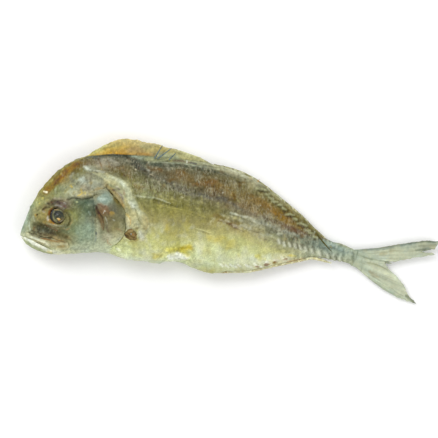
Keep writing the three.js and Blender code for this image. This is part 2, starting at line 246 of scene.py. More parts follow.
# Marks, here and below: colour, strength, width, softness and path.
HEAD_MARKS = [
    # forehead
    ("8a6a24", 0.8, 6.5, 0.6, FOREHEAD_STREAK),
    ("744f16", 0.7, 3.0, 0.6, [(34, 64), (40, 70.4), (46, 76)]),
    ("6f4c1a", 0.6, 3.5, 0.7, [(51, 80.5), (56, 83)]),
    ("6c4f20", 0.5, 3.0, 0.7, [(26, 52.5), (30, 58)]),
    ("b5ac62", 0.6, 2.2, 0.8, [(40, 77), (42, 78.4)]),
    ("b0a860", 0.5, 2.2, 0.8, [(30, 66), (32, 68)]),
    ("a5a25c", 0.5, 3.0, 0.8, [(16, 48), (22, 50.5)]),
    ("c8b860", 0.7, 1.6, 0.8, [(19.2, 44.8)]),
    ("c8bc66", 0.7, 2.0, 0.8, [(21.8, 49.8), (23, 48.6)]),
    ("c0b464", 0.6, 1.6, 0.8, [(27, 48.2)]),
    # painted highlight: a glint of the studio light on the forehead
    ("f0ecd0", 0.95, 1.9, 0.5, [(22.8, 56.3), (26.2, 55.4)]),
    # snout; its bluish-white rim is a painted reflection on the silvery skin
    ("6d7058", 0.6, 1.6, 0.8, [(10, 42), (12.5, 37.5), (11.5, 33), (9, 29)]),
    ("a8b7a6", 0.7, 2.4, 0.8, [(7, 35), (6, 29), (6.6, 23)]),
    ("c0cabc", 0.6, 1.2, 0.8, [(9.2, 27.5), (9, 23), (10, 19)]),
    ("5f7a70", 0.7, 1.2, 0.8, [(5, 33), (3, 26), (2.4, 20.5)]),
    ("7f8c74", 0.5, 1.2, 0.8, [(13.5, 43), (15, 39.5)]),
    ("bfc4ae", 0.5, 1.4, 0.8, [(13, 32), (14, 27.5)]),
    # nostril and what is before the eye
    ("8f8a5a", 0.5, 6.0, 0.9, [(18.6, 34.6), (23, 30)]),
    ("a98a40", 0.8, 1.8, 0.8, [(15.2, 34), (15.4, 32)]),
    ("37240e", 0.95, 1.5, 0.6, [(16.9, 33.8)]),
    # painted highlight: small glints before the eye
    ("b6a99c", 0.7, 1.5, 0.8, [(22.2, 37.2), (24.2, 35.8)]),
    ("c8c0b4", 0.7, 1.2, 0.8, [(26.8, 32.6), (27.6, 29.6), (29.6, 27)]),
    ("8a5a30", 0.5, 2.0, 0.8, [(23, 39.2), (25.6, 38)]),
    # lid over the eye
    ("6b5a44", 0.7, 4.6, 0.8, [(24, 42.4), (33, 46.4), (42, 45.2), (47, 40)]),
    ("2f201b", 0.95, 2.4, 0.7, [(22.4, 38.6), (25.6, 41), (28.6, 41.4)]),
    ("3b2b28", 0.8, 1.6, 0.8, [(26.6, 45), (29, 43.4)]),
    ("6a2e20", 0.7, 1.4, 0.8, [(30, 46.4), (31.6, 45)]),
    ("42343a", 0.85, 3.0, 0.8, [(32, 44.2), (36.8, 46.4), (39, 45)]),
    # painted highlight on the wrinkled lid
    ("9a9498", 0.7, 1.4, 0.8, [(33.4, 42.6), (37, 43.2), (40.4, 42)]),
    ("5c4c52", 0.7, 1.8, 0.9, [(40, 45.6), (42.4, 43), (44.6, 40.6)]),
    ("6a3a30", 0.6, 1.1, 0.9, [(42.8, 43.4), (43.6, 41.6)]),
    # painted highlight on the wrinkled lid
    ("b4b0ac", 0.6, 1.1, 0.9, [(42.6, 46), (44.4, 44.2)]),
    ("a89a86", 0.6, 2.2, 0.8, [(33, 49), (40, 49.6)]),
    ("5c4436", 0.6, 1.4, 0.8, [(45, 48.4), (48, 48)]),
    # amber flesh round the eye
    ("84531a", 0.95, 2.4, 0.6, [(31, 40), (28.6, 37), (27.8, 33.4)]),
    ("b07a20", 0.95, 2.4, 0.6, [(28.8, 28.4), (31, 26), (34, 24.2)]),
    ("d9d2c4", 0.8, 1.5, 0.8, [(26.6, 31.4), (27.2, 28.6)]),
    ("b3a264", 0.7, 1.6, 0.8, [(25, 35), (25.6, 31)]),
    ("b8b89e", 0.8, 1.2, 0.8, [(26, 25.8), (31.6, 24.2), (37, 23.4), (42.6, 23.2)]),
    ("9a6148", 0.7, 1.3, 0.8, [(25, 24), (31, 20.8), (36, 18.6)]),
    ("8f8a4a", 0.7, 2.6, 0.9, [(44, 38), (48, 37.4), (51, 35)]),
    ("5a5434", 0.65, 4.6, 0.8, [(43.6, 37), (47, 32), (46.6, 26), (42, 22.6)]),
    ("8f8c6a", 0.8, 1.1, 0.8, [(43.6, 35.4), (46.4, 31.5), (46.2, 27), (43.4, 24.2)]),
    ("463c26", 0.8, 1.5, 0.8, [(46, 35.8), (47.6, 31.5), (48.4, 27.4), (45.9, 23.3)]),
    ("8a8458", 0.7, 2.2, 0.8, [(46.4, 32), (46.6, 28.4), (44.4, 25.2)]),
    ("a99a6c", 0.6, 1.4, 0.8, [(50.6, 33), (50.6, 28), (48, 23)]),
    ("ab8d64", 0.6, 1.2, 0.9, [(41.6, 21), (45, 19.6), (48.6, 21)]),
    # dark hollow under the eye, painted dark partly as the shade that lies in it
    ("48443a", 0.85, 9.5, 0.6, [(17, 22), (24, 20), (29.6, 18)]),
    ("57523a", 0.75, 5.0, 0.7, [(14, 25), (20, 25.4)]),
    ("625a3e", 0.7, 5.0, 0.8, [(33, 16), (40, 14), (45, 12)]),
    ("2c2116", 0.8, 3.0, 0.8, [(11.6, 18.4), (14, 17), (18, 16.6)]),
    ("6c4c26", 0.7, 2.4, 0.8, [(14.4, 22.4), (13.4, 19)]),
    ("3d332c", 0.7, 3.2, 0.9, [(29.6, 16.4), (34.6, 14.8)]),
    ("42321e", 0.7, 2.0, 0.9, [(16, 16), (22, 14.8), (28, 13.6)]),
    ("4a3624", 0.6, 1.7, 0.9, [(20, 15.6), (26.4, 13.6), (31, 12)]),
    ("8f6638", 0.7, 1.6, 0.9, [(29, 11), (36, 9.4), (43, 8)]),
    ("74603c", 0.6, 2.6, 0.9, [(44, 15), (49, 9.6)]),
    ("c3c4a2", 0.85, 5.0, 0.8, [(34, -2), (42, -1.6), (47, 2)]),
    ("e6e6cf", 0.85, 3.6, 0.8, [(30, -0.6), (38, -3.4), (43, -4.6)]),
    # cheek
    ("909f8a", 0.7, 15, 0.8, [(58, 18), (64, 14)]),
    ("7d855e", 0.5, 9, 0.9, [(53, 33), (60, 31)]),
    ("8f8c54", 0.5, 5, 0.9, [(52, 34), (55, 30)]),
    ("525f50", 0.75, 5, 0.9, [(54, 47), (61, 47.2), (70, 46.6)]),
    ("4c5646", 0.7, 4.5, 0.8, [(71.4, 47), (72.2, 40), (73.6, 33)]),
    ("5c6852", 0.5, 8, 0.9, [(64, 42), (66, 36)]),
    # painted shade in the crease between cheek and nape
    ("2d3028", 0.9, 1.2, 0.8, [(47.6, 48.2), (50, 49.8), (54, 49.6), (60, 48.8), (66, 49.4), (71, 50.6),
                                (74.4, 52)]),
    ("c6c994", 0.9, 1.7, 0.7, [(55.2, 46.2)]),
    ("a8b4a4", 0.5, 1.2, 0.9, [(66.4, 37), (68, 33.4)]),
    ("b7bda4", 0.5, 7, 0.9, [(52, 2), (62, 2.4), (70, 4)]),
    ("abb09a", 0.5, 3, 0.9, [(70, 9), (71, 3)]),
    ("6f7f70", 0.4, 1.6, 0.9, [(70.4, 30), (70.8, 20), (69.6, 12)]),
    # crown and nape
    ("b6b59e", 0.5, 2.2, 0.9, [(50, 51.6), (58, 52.6), (66, 52.4), (73, 54)]),
    ("6f6f68", 0.5, 4.5, 0.9, [(39.6, 59.6), (42.6, 58.8)]),
    ("74766e", 0.5, 4.5, 0.9, [(49.6, 68), (51, 65)]),
    ("b9bf9c", 0.6, 2.0, 0.9, [(35, 59), (34.4, 56)]),
    ("7f745c", 0.4, 9.0, 0.9, [(60.6, 66.6)]),
    ("b4bdb0", 0.85, 6.4, 0.8, [(58.6, 67.8), (62.4, 66)]),
    ("9a9c88", 0.6, 9.0, 0.9, [(73.4, 67), (77.4, 63)]),
    ("bfc4b4", 0.4, 3.2, 0.9, [(49, 71), (52, 74)]),
    ("a09278", 0.5, 5.0, 0.9, [(60, 60), (68, 58.4)]),
    ("7a6a50", 0.6, 2.0, 0.9, [(67, 70), (68.6, 64), (67.8, 60)]),
    ("6c6242", 0.6, 5.0, 0.9, [(62, 86), (72, 84.4)]),
    ("8f8a64", 0.5, 3.0, 0.9, [(69, 82.6), (73, 81.6)]),
    ("6d5736", 0.6, 4.0, 0.9, [(86, 80), (95, 79), (101, 77)]),
    ("938f80", 0.7, 6.0, 0.8, [(78.4, 85.6), (86, 84.6), (94, 82)]),
    ("aeaa9a", 0.6, 2.0, 0.9, [(80, 86.8), (88, 86), (95, 83)]),
    ("6f5430", 0.75, 1.2, 0.9, [(75.6, 88), (77.6, 82), (79.6, 77.4)]),
    ("6f5430", 0.5, 1.0, 0.9, [(84, 86), (87, 80)]),
    ("5f4a2a", 0.65, 3.0, 0.9, [(62, 75), (68, 73.6), (74, 74)]),
    ("5a4626", 0.6, 2.6, 0.9, [(86, 76.4), (94, 74.4), (101, 71.4)]),
    ("b4b8a6", 0.6, 6.0, 0.9, [(64, 78.6), (72, 76)]),
    ("bcc0b0", 0.8, 3.0, 0.8, [(62, 80), (64.6, 78.6), (68.4, 77)]),
    ("cdcfc0", 0.6, 1.2, 0.9, [(63, 79.4), (67.6, 76.6)]),
    ("bfbfac", 0.75, 1.8, 0.9, [(72, 76.4), (76.6, 75.4), (81.4, 74.8)]),
    ("c6c6ae", 0.75, 2.8, 0.9, [(71, 73), (78, 72.4), (88.6, 70.8)]),
    ("4f3f24", 0.5, 1.2, 0.9, [(70, 74.6), (78, 73.6)]),
    ("c6aa3a", 0.8, 1.0, 0.8, [(47.4, 62.4), (50.6, 60.4)]),
    ("c6aa3a", 0.6, 0.9, 0.8, [(49.6, 63), (50.6, 59.4)]),
    ("cbb04a", 0.75, 1.0, 0.8, [(58.8, 58.6), (60, 55), (63.4, 54)]),
    ("c6aa3a", 0.75, 1.3, 0.8, [(56, 52.2), (58.4, 53), (60, 55)]),
    ("cfc060", 0.6, 0.9, 0.8, [(62.6, 56), (63.8, 53.4)]),
    ("94783e", 0.6, 2.8, 0.9, [(71.6, 57.4), (75, 59), (79.4, 58.2)]),
    ("b4aa8c", 0.5, 2.0, 0.9, [(80, 60.6), (84, 63)]),
    ("4c463c", 0.6, 2.0, 0.8, [(77, 69.8), (80.6, 67.4)]),
    ("2e2c26", 0.8, 2.8, 0.8, [(102, 90), (104, 87.4)]),
    ("4c4a3e", 0.55, 5.0, 0.9, [(106, 86), (112, 80)]),
    ("33383a", 0.8, 3.4, 0.8, [(72, 91.6), (84, 93), (96, 92.6), (103, 91.2)]),
    ("33281e", 0.8, 2.6, 0.6, [(30.6, 37.8), (33.2, 40.4), (36.8, 41.4)]),
    ("62634a", 0.65, 4.6, 0.8, [(17.4, 27.4), (22.8, 28.8)]),
    ("8c8468", 0.55, 4.6, 0.9, [(29, 21.6), (36, 20.4)]),
    ("665936", 0.7, 6.0, 0.9, [(58, 82), (63, 85)]),
    ("78764f", 0.5, 5.0, 1.0, [(59, 77.4), (63, 73.6)]),
    ("77765c", 0.5, 6.0, 0.9, [(69, 74), (78, 67)]),
]

# A sheet of loose skin behind the gill cover, and the flesh round the stump of the pectoral fin.
SHOULDER_FOLD = [(68, 75.4), (83, 73.4), (96.5, 69), (103.4, 64.4), (106.5, 58.8), (108.5, 52), (113, 45.8),
                 (115.7, 39), (121.2, 34.8), (124, 28), (124.8, 23.8), (122.9, 17), (119.6, 10), (115.8, 8),
                 (113.2, 12), (113, 19.4), (104.6, 22.6), (101.4, 29), (100.6, 37), (101.4, 42), (98.8, 48.6),
                 (96.4, 55.6), (91, 61.4), (84.4, 64.4), (76, 70.6)]

# The skin round that sheet: painted shade in the trough before it and along its outer edge, with its tan and orange
# border.
SHOULDER_SHADE_AND_MARKS = [
    ("5f5226", 0.7, 3.2, 0.9, [(86.4, 77), (96, 74), (104, 69)]),
    ("5f5a36", 0.6, 2.6, 0.9, [(104, 68.4), (109.6, 60), (112, 52), (117, 45), (121.6, 38.6), (127, 33), (128, 24)]),
    ("7c6440", 0.6, 2.4, 0.9, [(84, 61.6), (89, 57), (94.6, 49.6), (99, 42), (102, 34)]),
    ("b5a878", 0.85, 4.4, 0.7, [(83.6, 61.4), (89, 57.4), (93.4, 53.4), (97, 48.4), (100.4, 41.6)]),
    ("b79a64", 0.7, 1.8, 0.7, [(84, 62.4), (89, 58), (93.6, 53), (97.4, 47.6), (100, 42)]),
    ("42290f", 0.9, 1.8, 0.8, [(83.4, 60), (87, 55.8), (89.6, 51.8)]),
    ("6f5a30", 0.6, 1.4, 0.9, [(90, 51), (94.6, 46), (98.6, 40.8)]),
    ("b5723a", 0.5, 1.2, 0.9, [(86.4, 65), (91, 62.4)]),
]

# Marks on that sheet itself, with painted highlights along its ridge and painted shade in its furrows.
FOLD_MARKS_HIGHLIGHTS_AND_SHADE = [
    ("bcc0a2", 0.85, 7.0, 0.7, [(84, 70.6), (93, 67.4), (99.6, 63), (103, 56), (106, 49), (110.4, 42), (114.4, 36)]),
    # painted highlights on the fold's ridge
    ("d6d9c2", 0.75, 2.8, 0.8, [(90, 69), (97, 65.4), (101.6, 60.4)]),
    ("dadcc8", 0.75, 3.6, 0.8, [(105.4, 46), (110, 40.6)]),
    ("958e68", 0.65, 2.2, 0.9, [(96.6, 62), (100.4, 55), (102.4, 49)]),
    # painted shade in the furrow inside the fold
    ("9a9160", 0.65, 2.8, 0.9, [(101, 49), (103.4, 43), (106, 37.6), (107.4, 32)]),
    ("c2bb8e", 0.75, 5.2, 0.8, [(104, 36), (109, 33), (111, 27)]),
    # painted shade in the furrow
    ("7c7850", 0.75, 1.5, 0.9, [(110.2, 40), (113, 34.4), (114, 29.4), (116.6, 24.4)]),
    ("c8c4a0", 0.6, 1.6, 0.9, [(112.8, 38), (116, 34), (117.6, 29)]),
    ("a99c6c", 0.75, 5.0, 0.8, [(118.6, 31.6), (121, 26), (120, 20)]),
    ("a8935e", 0.5, 1.2, 0.9, [(120, 34), (122.6, 27), (121.6, 20)]),
    ("c8c09a", 0.7, 4.6, 0.8, [(103.6, 30), (104.6, 25)]),
    ("cbb163", 0.7, 2.2, 0.9, [(102, 34.4), (104.6, 33)]),
    ("bd9444", 0.7, 0.8, 0.7, [(101.8, 33.8), (105.8, 30.8), (106.7, 26.6), (105.5, 22)]),
    ("9ba08e", 0.6, 3.0, 0.9, [(112.6, 27), (114, 23)]),
    ("d6d6c2", 0.75, 4.6, 0.8, [(115.4, 17), (116.6, 12.4), (119, 9)]),
    ("c4bb90", 0.6, 2.6, 0.9, [(120.4, 17), (121, 11.6)]),
    ("53403e", 0.85, 2.2, 0.8, [(89.2, 57), (91, 57.4)]),
    ("594448", 0.75, 1.8, 0.8, [(93.4, 58.6), (95.6, 57.6)]),
    ("c6bdbb", 0.6, 1.8, 0.9, [(91.6, 60), (94.4, 60.4)]),
    ("8a766e", 0.6, 3.4, 0.9, [(94.6, 55), (98, 50)]),
    ("bdb4b0", 0.6, 1.5, 0.9, [(95.4, 54.6), (97.8, 51.6)]),
    ("5d4d5e", 0.8, 1.3, 0.8, [(97.4, 51.4), (99.6, 48)]),
    ("a0806a", 0.6, 1.6, 0.9, [(100, 57.4), (100.6, 53)]),
]

SHOULDER_SKIN = [
    ("a88a48", 0.8, 1.4, 0.8, [(105.4, 8.2), (111, 8.6), (114.6, 10.6)]),
    ("a9a25a", 0.7, 1.6, 0.8, [(94.8, 9.4), (99.4, 12.4)]),
    ("b9bf86", 0.8, 5.2, 0.8, [(99, 6.4), (105, 4.4)]),
    # painted highlight on the glossy breast
    ("f1f3d4", 0.9, 2.0, 0.8, [(93, 1.6), (96.6, -0.8)]),
    ("e6ebba", 0.8, 3.0, 0.9, [(98, -4), (103, -6.4)]),
    # painted highlight: a small glint on the breast
    ("e8ecc6", 0.8, 1.2, 0.8, [(101.4, 7.4), (103.6, 5.8)]),
    ("c6cbaa", 0.7, 5.0, 0.9, [(113, -1), (119, -3)]),
    ("c0bb66", 0.5, 4.0, 0.9, [(108, 3), (112, 6)]),
    ("6a5c38", 0.9, 2.6, 0.6, [(111.4, 19.6), (113.6, 21.4)]),
    ("53403e", 0.8, 2.4, 0.8, [(88.8, 57.6), (91.4, 57.2)]),
    ("bcbfa0", 0.5, 6.0, 1.0, [(249, 7), (257, 4.6)]),
    ("c2c8ae", 0.5, 6.0, 1.0, [(272, -1.6), (280, -2.4)]),
    ("8a8766", 0.45, 5.0, 1.0, [(88.6, 67.8), (95.4, 65.8)]),
    ("74714a", 0.45, 6.0, 1.0, [(28, 51), (34, 54)]),
    ("5d4a50", 0.7, 1.6, 0.8, [(93.6, 59.4), (96.4, 57.6)]),
    ("c2bcae", 0.65, 1.5, 0.8, [(94.6, 54.8), (97.4, 52)]),
    ("5b4b58", 0.75, 1.5, 0.8, [(97.8, 52.8), (100, 48.4)]),
    ("a59e4c", 0.5, 6.0, 1.0, [(142, 6.4), (150, 6)]),
    ("dce0b0", 0.5, 6.0, 1.0, [(133.6, -2), (141, -2.6)]),
    ("a3aa84", 0.5, 6.0, 1.0, [(119, 53.4), (127, 51)]),
    ("abaa90", 0.7, 6.0, 1.0, [(226, 61), (234, 58)]),
    ("adac94", 0.5, 6.0, 1.0, [(226, 30), (234, 28)]),
    ("b3b8a0", 0.5, 5.0, 1.0, [(263, 8), (268, 6.4)]),
    ("5c604a", 0.6, 5.4, 1.0, [(273, 8), (280, 5.2)]),
    ("7a724e", 0.45, 6.0, 1.0, [(211, 22.6), (219.6, 19.4)]),
    ("9ca894", 0.5, 6.0, 1.0, [(288, 6.4), (296, 5)]),
    ("e2e3cc", 0.75, 5.0, 1.0, [(247, -10.6), (258, -8)]),
    ("757152", 0.45, 6.0, 1.0, [(205, 71.4), (214, 69), (222, 65)]),
    ("63664f", 0.45, 5.0, 1.0, [(276, 13), (284, 11)]),
    ("67633f", 0.6, 4.6, 0.9, [(90, 73.4), (95, 71.4), (99, 68.6)]),
    ("8f9684", 0.45, 6.0, 0.9, [(75, 71.6), (81, 70.8)]),
    ("857f74", 0.45, 4.2, 0.9, [(91.6, 57), (95.4, 51.4), (100, 46)]),
    ("a3a06a", 0.45, 4.2, 1.0, [(104, 68), (109, 63)]),
    ("696540", 0.45, 9.0, 1.0, [(124, 43.6), (128.6, 36.6)]),
    ("d0c64e", 0.8, 4.6, 0.8, [(155, -1.4), (159, -3.2), (161.6, -5.4)]),
    ("cbc453", 0.75, 5.4, 0.9, [(226.6, -6.6), (234, -8.6)]),
    ("aca984", 0.45, 5.4, 1.0, [(196, 31.4), (204, 29)]),
    ("bcb894", 0.5, 5.6, 1.0, [(230, 16.6), (239, 13.6)]),
    ("9f9a88", 0.4, 5.0, 1.0, [(236, 33.4), (244, 31)]),
    ("775f36", 0.5, 6.4, 1.0, [(187, 33), (195, 30), (203, 25.6), (211, 22)]),
    ("66452a", 0.7, 2.2, 0.8, [(190.6, 27.8), (197, 26.4), (203, 24.6), (209, 21.6)]),
    ("58402a", 0.7, 1.5, 0.8, [(203, 23.6), (210, 20), (215, 17.4)]),
    ("c6bc9e", 0.6, 1.5, 0.8, [(204, 24.6), (208, 23), (212, 21.4)]),
    ("b9ae84", 0.5, 2.8, 0.9, [(200.6, 31.8), (207, 30.4)]),
    ("c9c49c", 0.65, 1.1, 0.8, [(182.8, 26.4), (185.4, 29.8)]),
    ("c9c49c", 0.6, 1.1, 0.8, [(185.4, 26.8), (187.4, 31)]),
    ("d6d5ba", 0.65, 1.2, 0.8, [(202.4, 36.4), (206, 35.2), (209.6, 34)]),
]

# The middle of the flank towards the tail, where the skin is drawn into strands.
SEAM_LINE = [(178, 31), (200, 28), (222, 21.6), (245, 15), (268, 8.4), (290, 3.4)]

# Pale ends of the anal fin's rays along the belly's edge, with brown gaps between some of them.
BEADS = [(193, -14.2), (198.4, -15.4), (202.6, -14.7), (206.6, -15.9), (210, -14.6), (217.6, -15), (221.4, -16),
         (226, -14.2), (231.5, -16), (238, -12.4), (244.6, -10.2), (252, -7.6)]
FIN_EDGE_MARKS = [("f0f0e2", 0.8, 1.7, 0.7, [(x - 1.7, y + 1.2), (x + 1.8, y - 1.4)]) for x, y in BEADS]
FIN_EDGE_MARKS += [("a59a66", 0.5, 1.2, 0.8, [(x + 1.0, y + 1.8), (x + 3.8, y - 0.6)]) for x, y in BEADS]
FIN_EDGE_MARKS += [
    ("83582e", 0.85, 1.9, 0.7, [(226.4, -15.8), (229.4, -16.4)]),
    ("7a4f28", 0.95, 2.7, 0.6, [(235.4, -14.6), (239, -13.8)]),
    ("7a4f28", 0.95, 2.6, 0.6, [(243.4, -12.4), (247, -11.6)]),
    ("8a5f34", 0.85, 1.9, 0.7, [(252.4, -9.4), (256.4, -8.6)]),
    ("f4f3e6", 0.8, 1.1, 0.7, [(235, -12), (238, -11), (241, -12.4), (242.4, -14.4)]),
    ("f4f3e6", 0.8, 1.1, 0.7, [(243.4, -9.8), (246.6, -9), (249.6, -10.6)]),
]

FLANK_MARKS = [
    # lateral line
    ("d4d6b4", 0.7, 1.4, 0.9, [(109, 53), (113.6, 51.4), (118.6, 50.8), (124, 50.8), (129.9, 50), (137.5, 47.6),
                                 (145, 44.8)]),
    ("d8dabc", 0.6, 2.2, 0.9, [(110.6, 52.2), (117, 51)]),
    ("5c5a30", 0.7, 1.4, 0.8, [(120, 49), (130, 47.8), (138, 45.4), (147, 42.6), (152, 40.4)]),
    ("b7ad62", 0.6, 1.2, 0.8, [(131, 43.4), (141, 41.6), (152, 39.6), (166, 36), (180, 31)]),
    ("aca260", 0.4, 1.0, 0.8, [(151, 37.4), (163, 34.6), (178, 29.4)]),
    ("dcd89c", 0.8, 1.2, 0.7, [(169, 20.6), (175, 18.8), (182.6, 16.4)]),
    ("8f8446", 0.6, 1.2, 0.8, [(172, 18.6), (182, 15)]),
    ("d9d9b4", 0.7, 1.0, 0.7, [(154, 51.8), (156.6, 50.2)]),
    # stripe along the back muscles
    ("4a4c48", 0.7, 6.0, 0.8, [(105, 87), (112, 81), (119, 77)]),
    ("5f5c54", 0.65, 5.6, 0.9, [(113, 79), (123, 73.4), (134, 68.8), (149, 62.4), (168, 53.6), (182, 50.6)]),
    ("66645c", 0.6, 3.4, 0.9, [(166, 54.4), (180, 51), (194, 49.4), (204, 44.8), (213, 38.4)]),
    ("6c6a62", 0.3, 4.0, 0.9, [(213, 38), (224, 34.4), (238, 29.4)]),
    ("55534c", 0.5, 2.6, 0.9, [(151, 57.6), (166, 50.6), (180, 46)]),
    # brown of the back
    ("7c5a28", 0.5, 5.5, 0.9, [(150, 75.4), (157, 74)]),
    ("7c552a", 0.5, 5.0, 0.9, [(168, 63.4), (180, 63.6), (188, 66)]),
    ("7b5a34", 0.5, 5.0, 0.9, [(124, 79), (136, 76)]),
    ("8f897a", 0.5, 3.6, 0.9, [(138.4, 79), (144, 77.6)]),
    ("80602c", 0.5, 5.0, 0.9, [(222, 52), (232, 47), (240, 41)]),
    ("846228", 0.35, 5.0, 0.9, [(243, 36), (252, 31), (258, 25)]),
    ("66452c", 0.6, 2.6, 0.9, [(262, 21), (266, 17), (271, 14)]),
    # painted highlights: small glints on the back
    ("e4d6b6", 0.85, 1.3, 0.7, [(110.6, 77.4), (111.6, 76.8)]),
    ("ded0b0", 0.85, 1.4, 0.7, [(125.4, 72.6), (128.2, 71.2)]),
    ("c3c0b0", 0.7, 1.6, 0.8, [(122.6, 76.8), (124.6, 75.8)]),
    ("d0d0c2", 0.7, 1.2, 0.8, [(138, 67.4), (139, 66.2)]),
    ("a0967a", 0.3, 4.6, 0.9, [(204, 65), (209, 60)]),
    ("a0967c", 0.3, 4.6, 0.9, [(209, 51), (214, 46.6)]),
    ("a8a084", 0.35, 5.2, 0.9, [(225, 42), (229, 39)]),
    ("86643c", 0.6, 2.0, 0.8, [(226.6, 41)]),
    ("a0927a", 0.3, 4.4, 0.8, [(237, 39), (241, 35)]),
    ("e4e2d4", 0.85, 1.0, 0.8, [(231.2, 43.2)]),
    ("e4e4d6", 0.8, 1.2, 0.8, [(194.8, 55.2)]),
    # silvery edge of the bony row and the slate skin of the root of the tail
    ("cfd0be", 0.6, 1.6, 0.8, [(202, 35.4), (208.4, 33.8), (214, 32.4), (219, 32), (224, 29.6)]),
    ("bdbfae", 0.65, 3.4, 0.8, [(224, 28.6), (231, 25.4), (240, 23.6)]),
    ("b5b9ac", 0.6, 2.6, 0.8, [(240, 23.4), (250, 19.4), (259, 16.4), (266, 14.4)]),
    ("54574a", 0.45, 4.0, 0.9, [(238, 20), (246, 16.4), (257, 12.4), (268, 9)]),
    ("56524c", 0.5, 2.6, 0.8, [(206, 43), (210, 38)]),
    ("5f4634", 0.7, 2.6, 0.8, [(199, 25), (204, 23.4), (211, 21.6)]),
    ("c5b9a8", 0.6, 1.2, 0.8, [(206, 22.6), (209, 21.6)]),
    ("948a6c", 0.6, 6.0, 0.9, [(216, 22), (228, 16), (236, 11)]),
    ("b0a47a", 0.6, 1.0, 0.8, [(216, 14.4), (222, 8.6), (232, 5.6)]),
    ("707a72", 0.5, 7.0, 0.8, [(268, 12), (277, 7.4), (287, 4), (297, 1)]),
    ("929c92", 0.5, 4.0, 0.9, [(275, 13), (284, 8)]),
    ("525c56", 0.6, 2.4, 0.8, [(284, 3.6), (292, 1.6), (297, -3)]),
    ("a9b4ac", 0.5, 4.0, 0.9, [(296, 5.6), (304, 3)]),
    ("7c8880", 0.3, 5.0, 0.9, [(300, 1.6), (308, -1.4), (316, -3.4)]),
    # yellow flank and belly
    ("cbbc48", 0.65, 5.6, 0.9, [(130, -7), (138, -3), (147, 0.4), (160, 1)]),
    ("c8b436", 0.85, 5.0, 0.7, [(156, 1.4), (162, 3.6), (165, 1)]),
    # white breast skin, its brightest part a painted highlight on the bulge
    ("f2f3e4", 0.95, 7.0, 0.5, [(143, -7), (151, -5.6), (161, -6.6)]),
    ("c9bc4a", 0.6, 5.0, 0.9, [(128.4, -4.6), (131, -6.4)]),
    ("b9a95a", 0.4, 6.0, 0.9, [(139, 28), (143, 16)]),
    ("cac96c", 0.4, 8.0, 0.9, [(120, 14), (134, 9)]),
    ("c8b84c", 0.6, 5.4, 0.9, [(180, 12), (187, 9.6), (196, 12.4)]),
    ("b8c190", 0.7, 6.5, 0.8, [(172.6, -15.4), (177.4, -15.8)]),
    ("a9ad74", 0.6, 3.4, 0.9, [(173, -13.6), (175.6, -17)]),
    ("cbb948", 0.6, 4.0, 0.9, [(226.4, -7), (228.6, -5.4)]),
    ("cdc25c", 0.5, 5.0, 0.9, [(199, 2), (205, 9)]),
    ("cfbf50", 0.7, 2.2, 0.9, [(257, -5.2), (264.6, -5.8)]),
    ("d0d3b4", 0.3, 3.4, 0.9, [(159, 12), (163.4, 9)]),
    ("d8dcbc", 0.5, 6.0, 0.9, [(168, 6), (172, -4)]),
    ("6a4022", 0.9, 2.4, 0.7, [(235.4, -14.4), (237.6, -13.4)]),
    ("75502e", 0.85, 2.2, 0.7, [(243.6, -12.6), (246, -11.6)]),
    ("967a52", 0.7, 1.8, 0.8, [(253.4, -9.6), (256.4, -8.8)]),
    ("9c8250", 0.6, 1.6, 0.9, [(184, -23), (200, -22), (212, -22.4)]),
    ("b98a52", 0.7, 1.5, 0.8, [(256, -11.4), (266, -9.6), (280, -7.2)]),
    ("a3a17e", 0.6, 2.6, 0.9, [(240, 4), (252, 1.6), (270, -2.6)]),
    # groove along the root of the back fins
    ("b0b48e", 0.7, 4.0, 0.8, [(121, 87.4), (130, 86.6), (138, 86)]),
    ("a9b4a2", 0.7, 1.6, 0.8, [(108, 89.6), (113, 89.4), (118, 88)]),
    ("494f46", 0.7, 3.4, 0.8, [(118, 83.4), (130, 81.8), (148, 81.4), (163, 80.4), (180, 77), (195, 73.6),
                                (206, 69.4)]),
    ("b6bea8", 0.6, 1.0, 0.9, [(123, 84.4), (134, 84.2), (143, 83.8), (154, 83), (163, 81.8), (177, 79.6),
                                (190.6, 77.6), (197, 76)]),
    ("735040", 0.85, 1.6, 0.7, [(147, 85.6), (154, 85.4), (159, 84.6)]),
    ("735744", 0.8, 1.3, 0.7, [(161.6, 84.4), (168, 83)]),
    ("5d686a", 0.8, 1.3, 0.7, [(163, 83.6), (170, 82.8)]),
    ("6f6a5a", 0.8, 1.0, 0.7, [(176, 81.6), (186, 79.6)]),
    ("dcdccf", 0.9, 0.9, 0.7, [(160.3, 86), (160.5, 83.2)]),
    ("b5ad66", 0.7, 2.6, 0.8, [(142, 87), (145.6, 85.6)]),
    ("c6c4a6", 0.7, 3.0, 0.8, [(198, 78.6), (205, 75), (212, 72)]),
    ("d5d7c0", 0.8, 2.4, 0.8, [(213, 71.4), (217.4, 70)]),
    ("c4b084", 0.7, 1.4, 0.8, [(220, 69.6), (223, 67.6)]),
]

# The breast, where the skin is white with a yellow rim.
FLANK_PATCH = [(140, -5), (150, -3.4), (161, -4)]

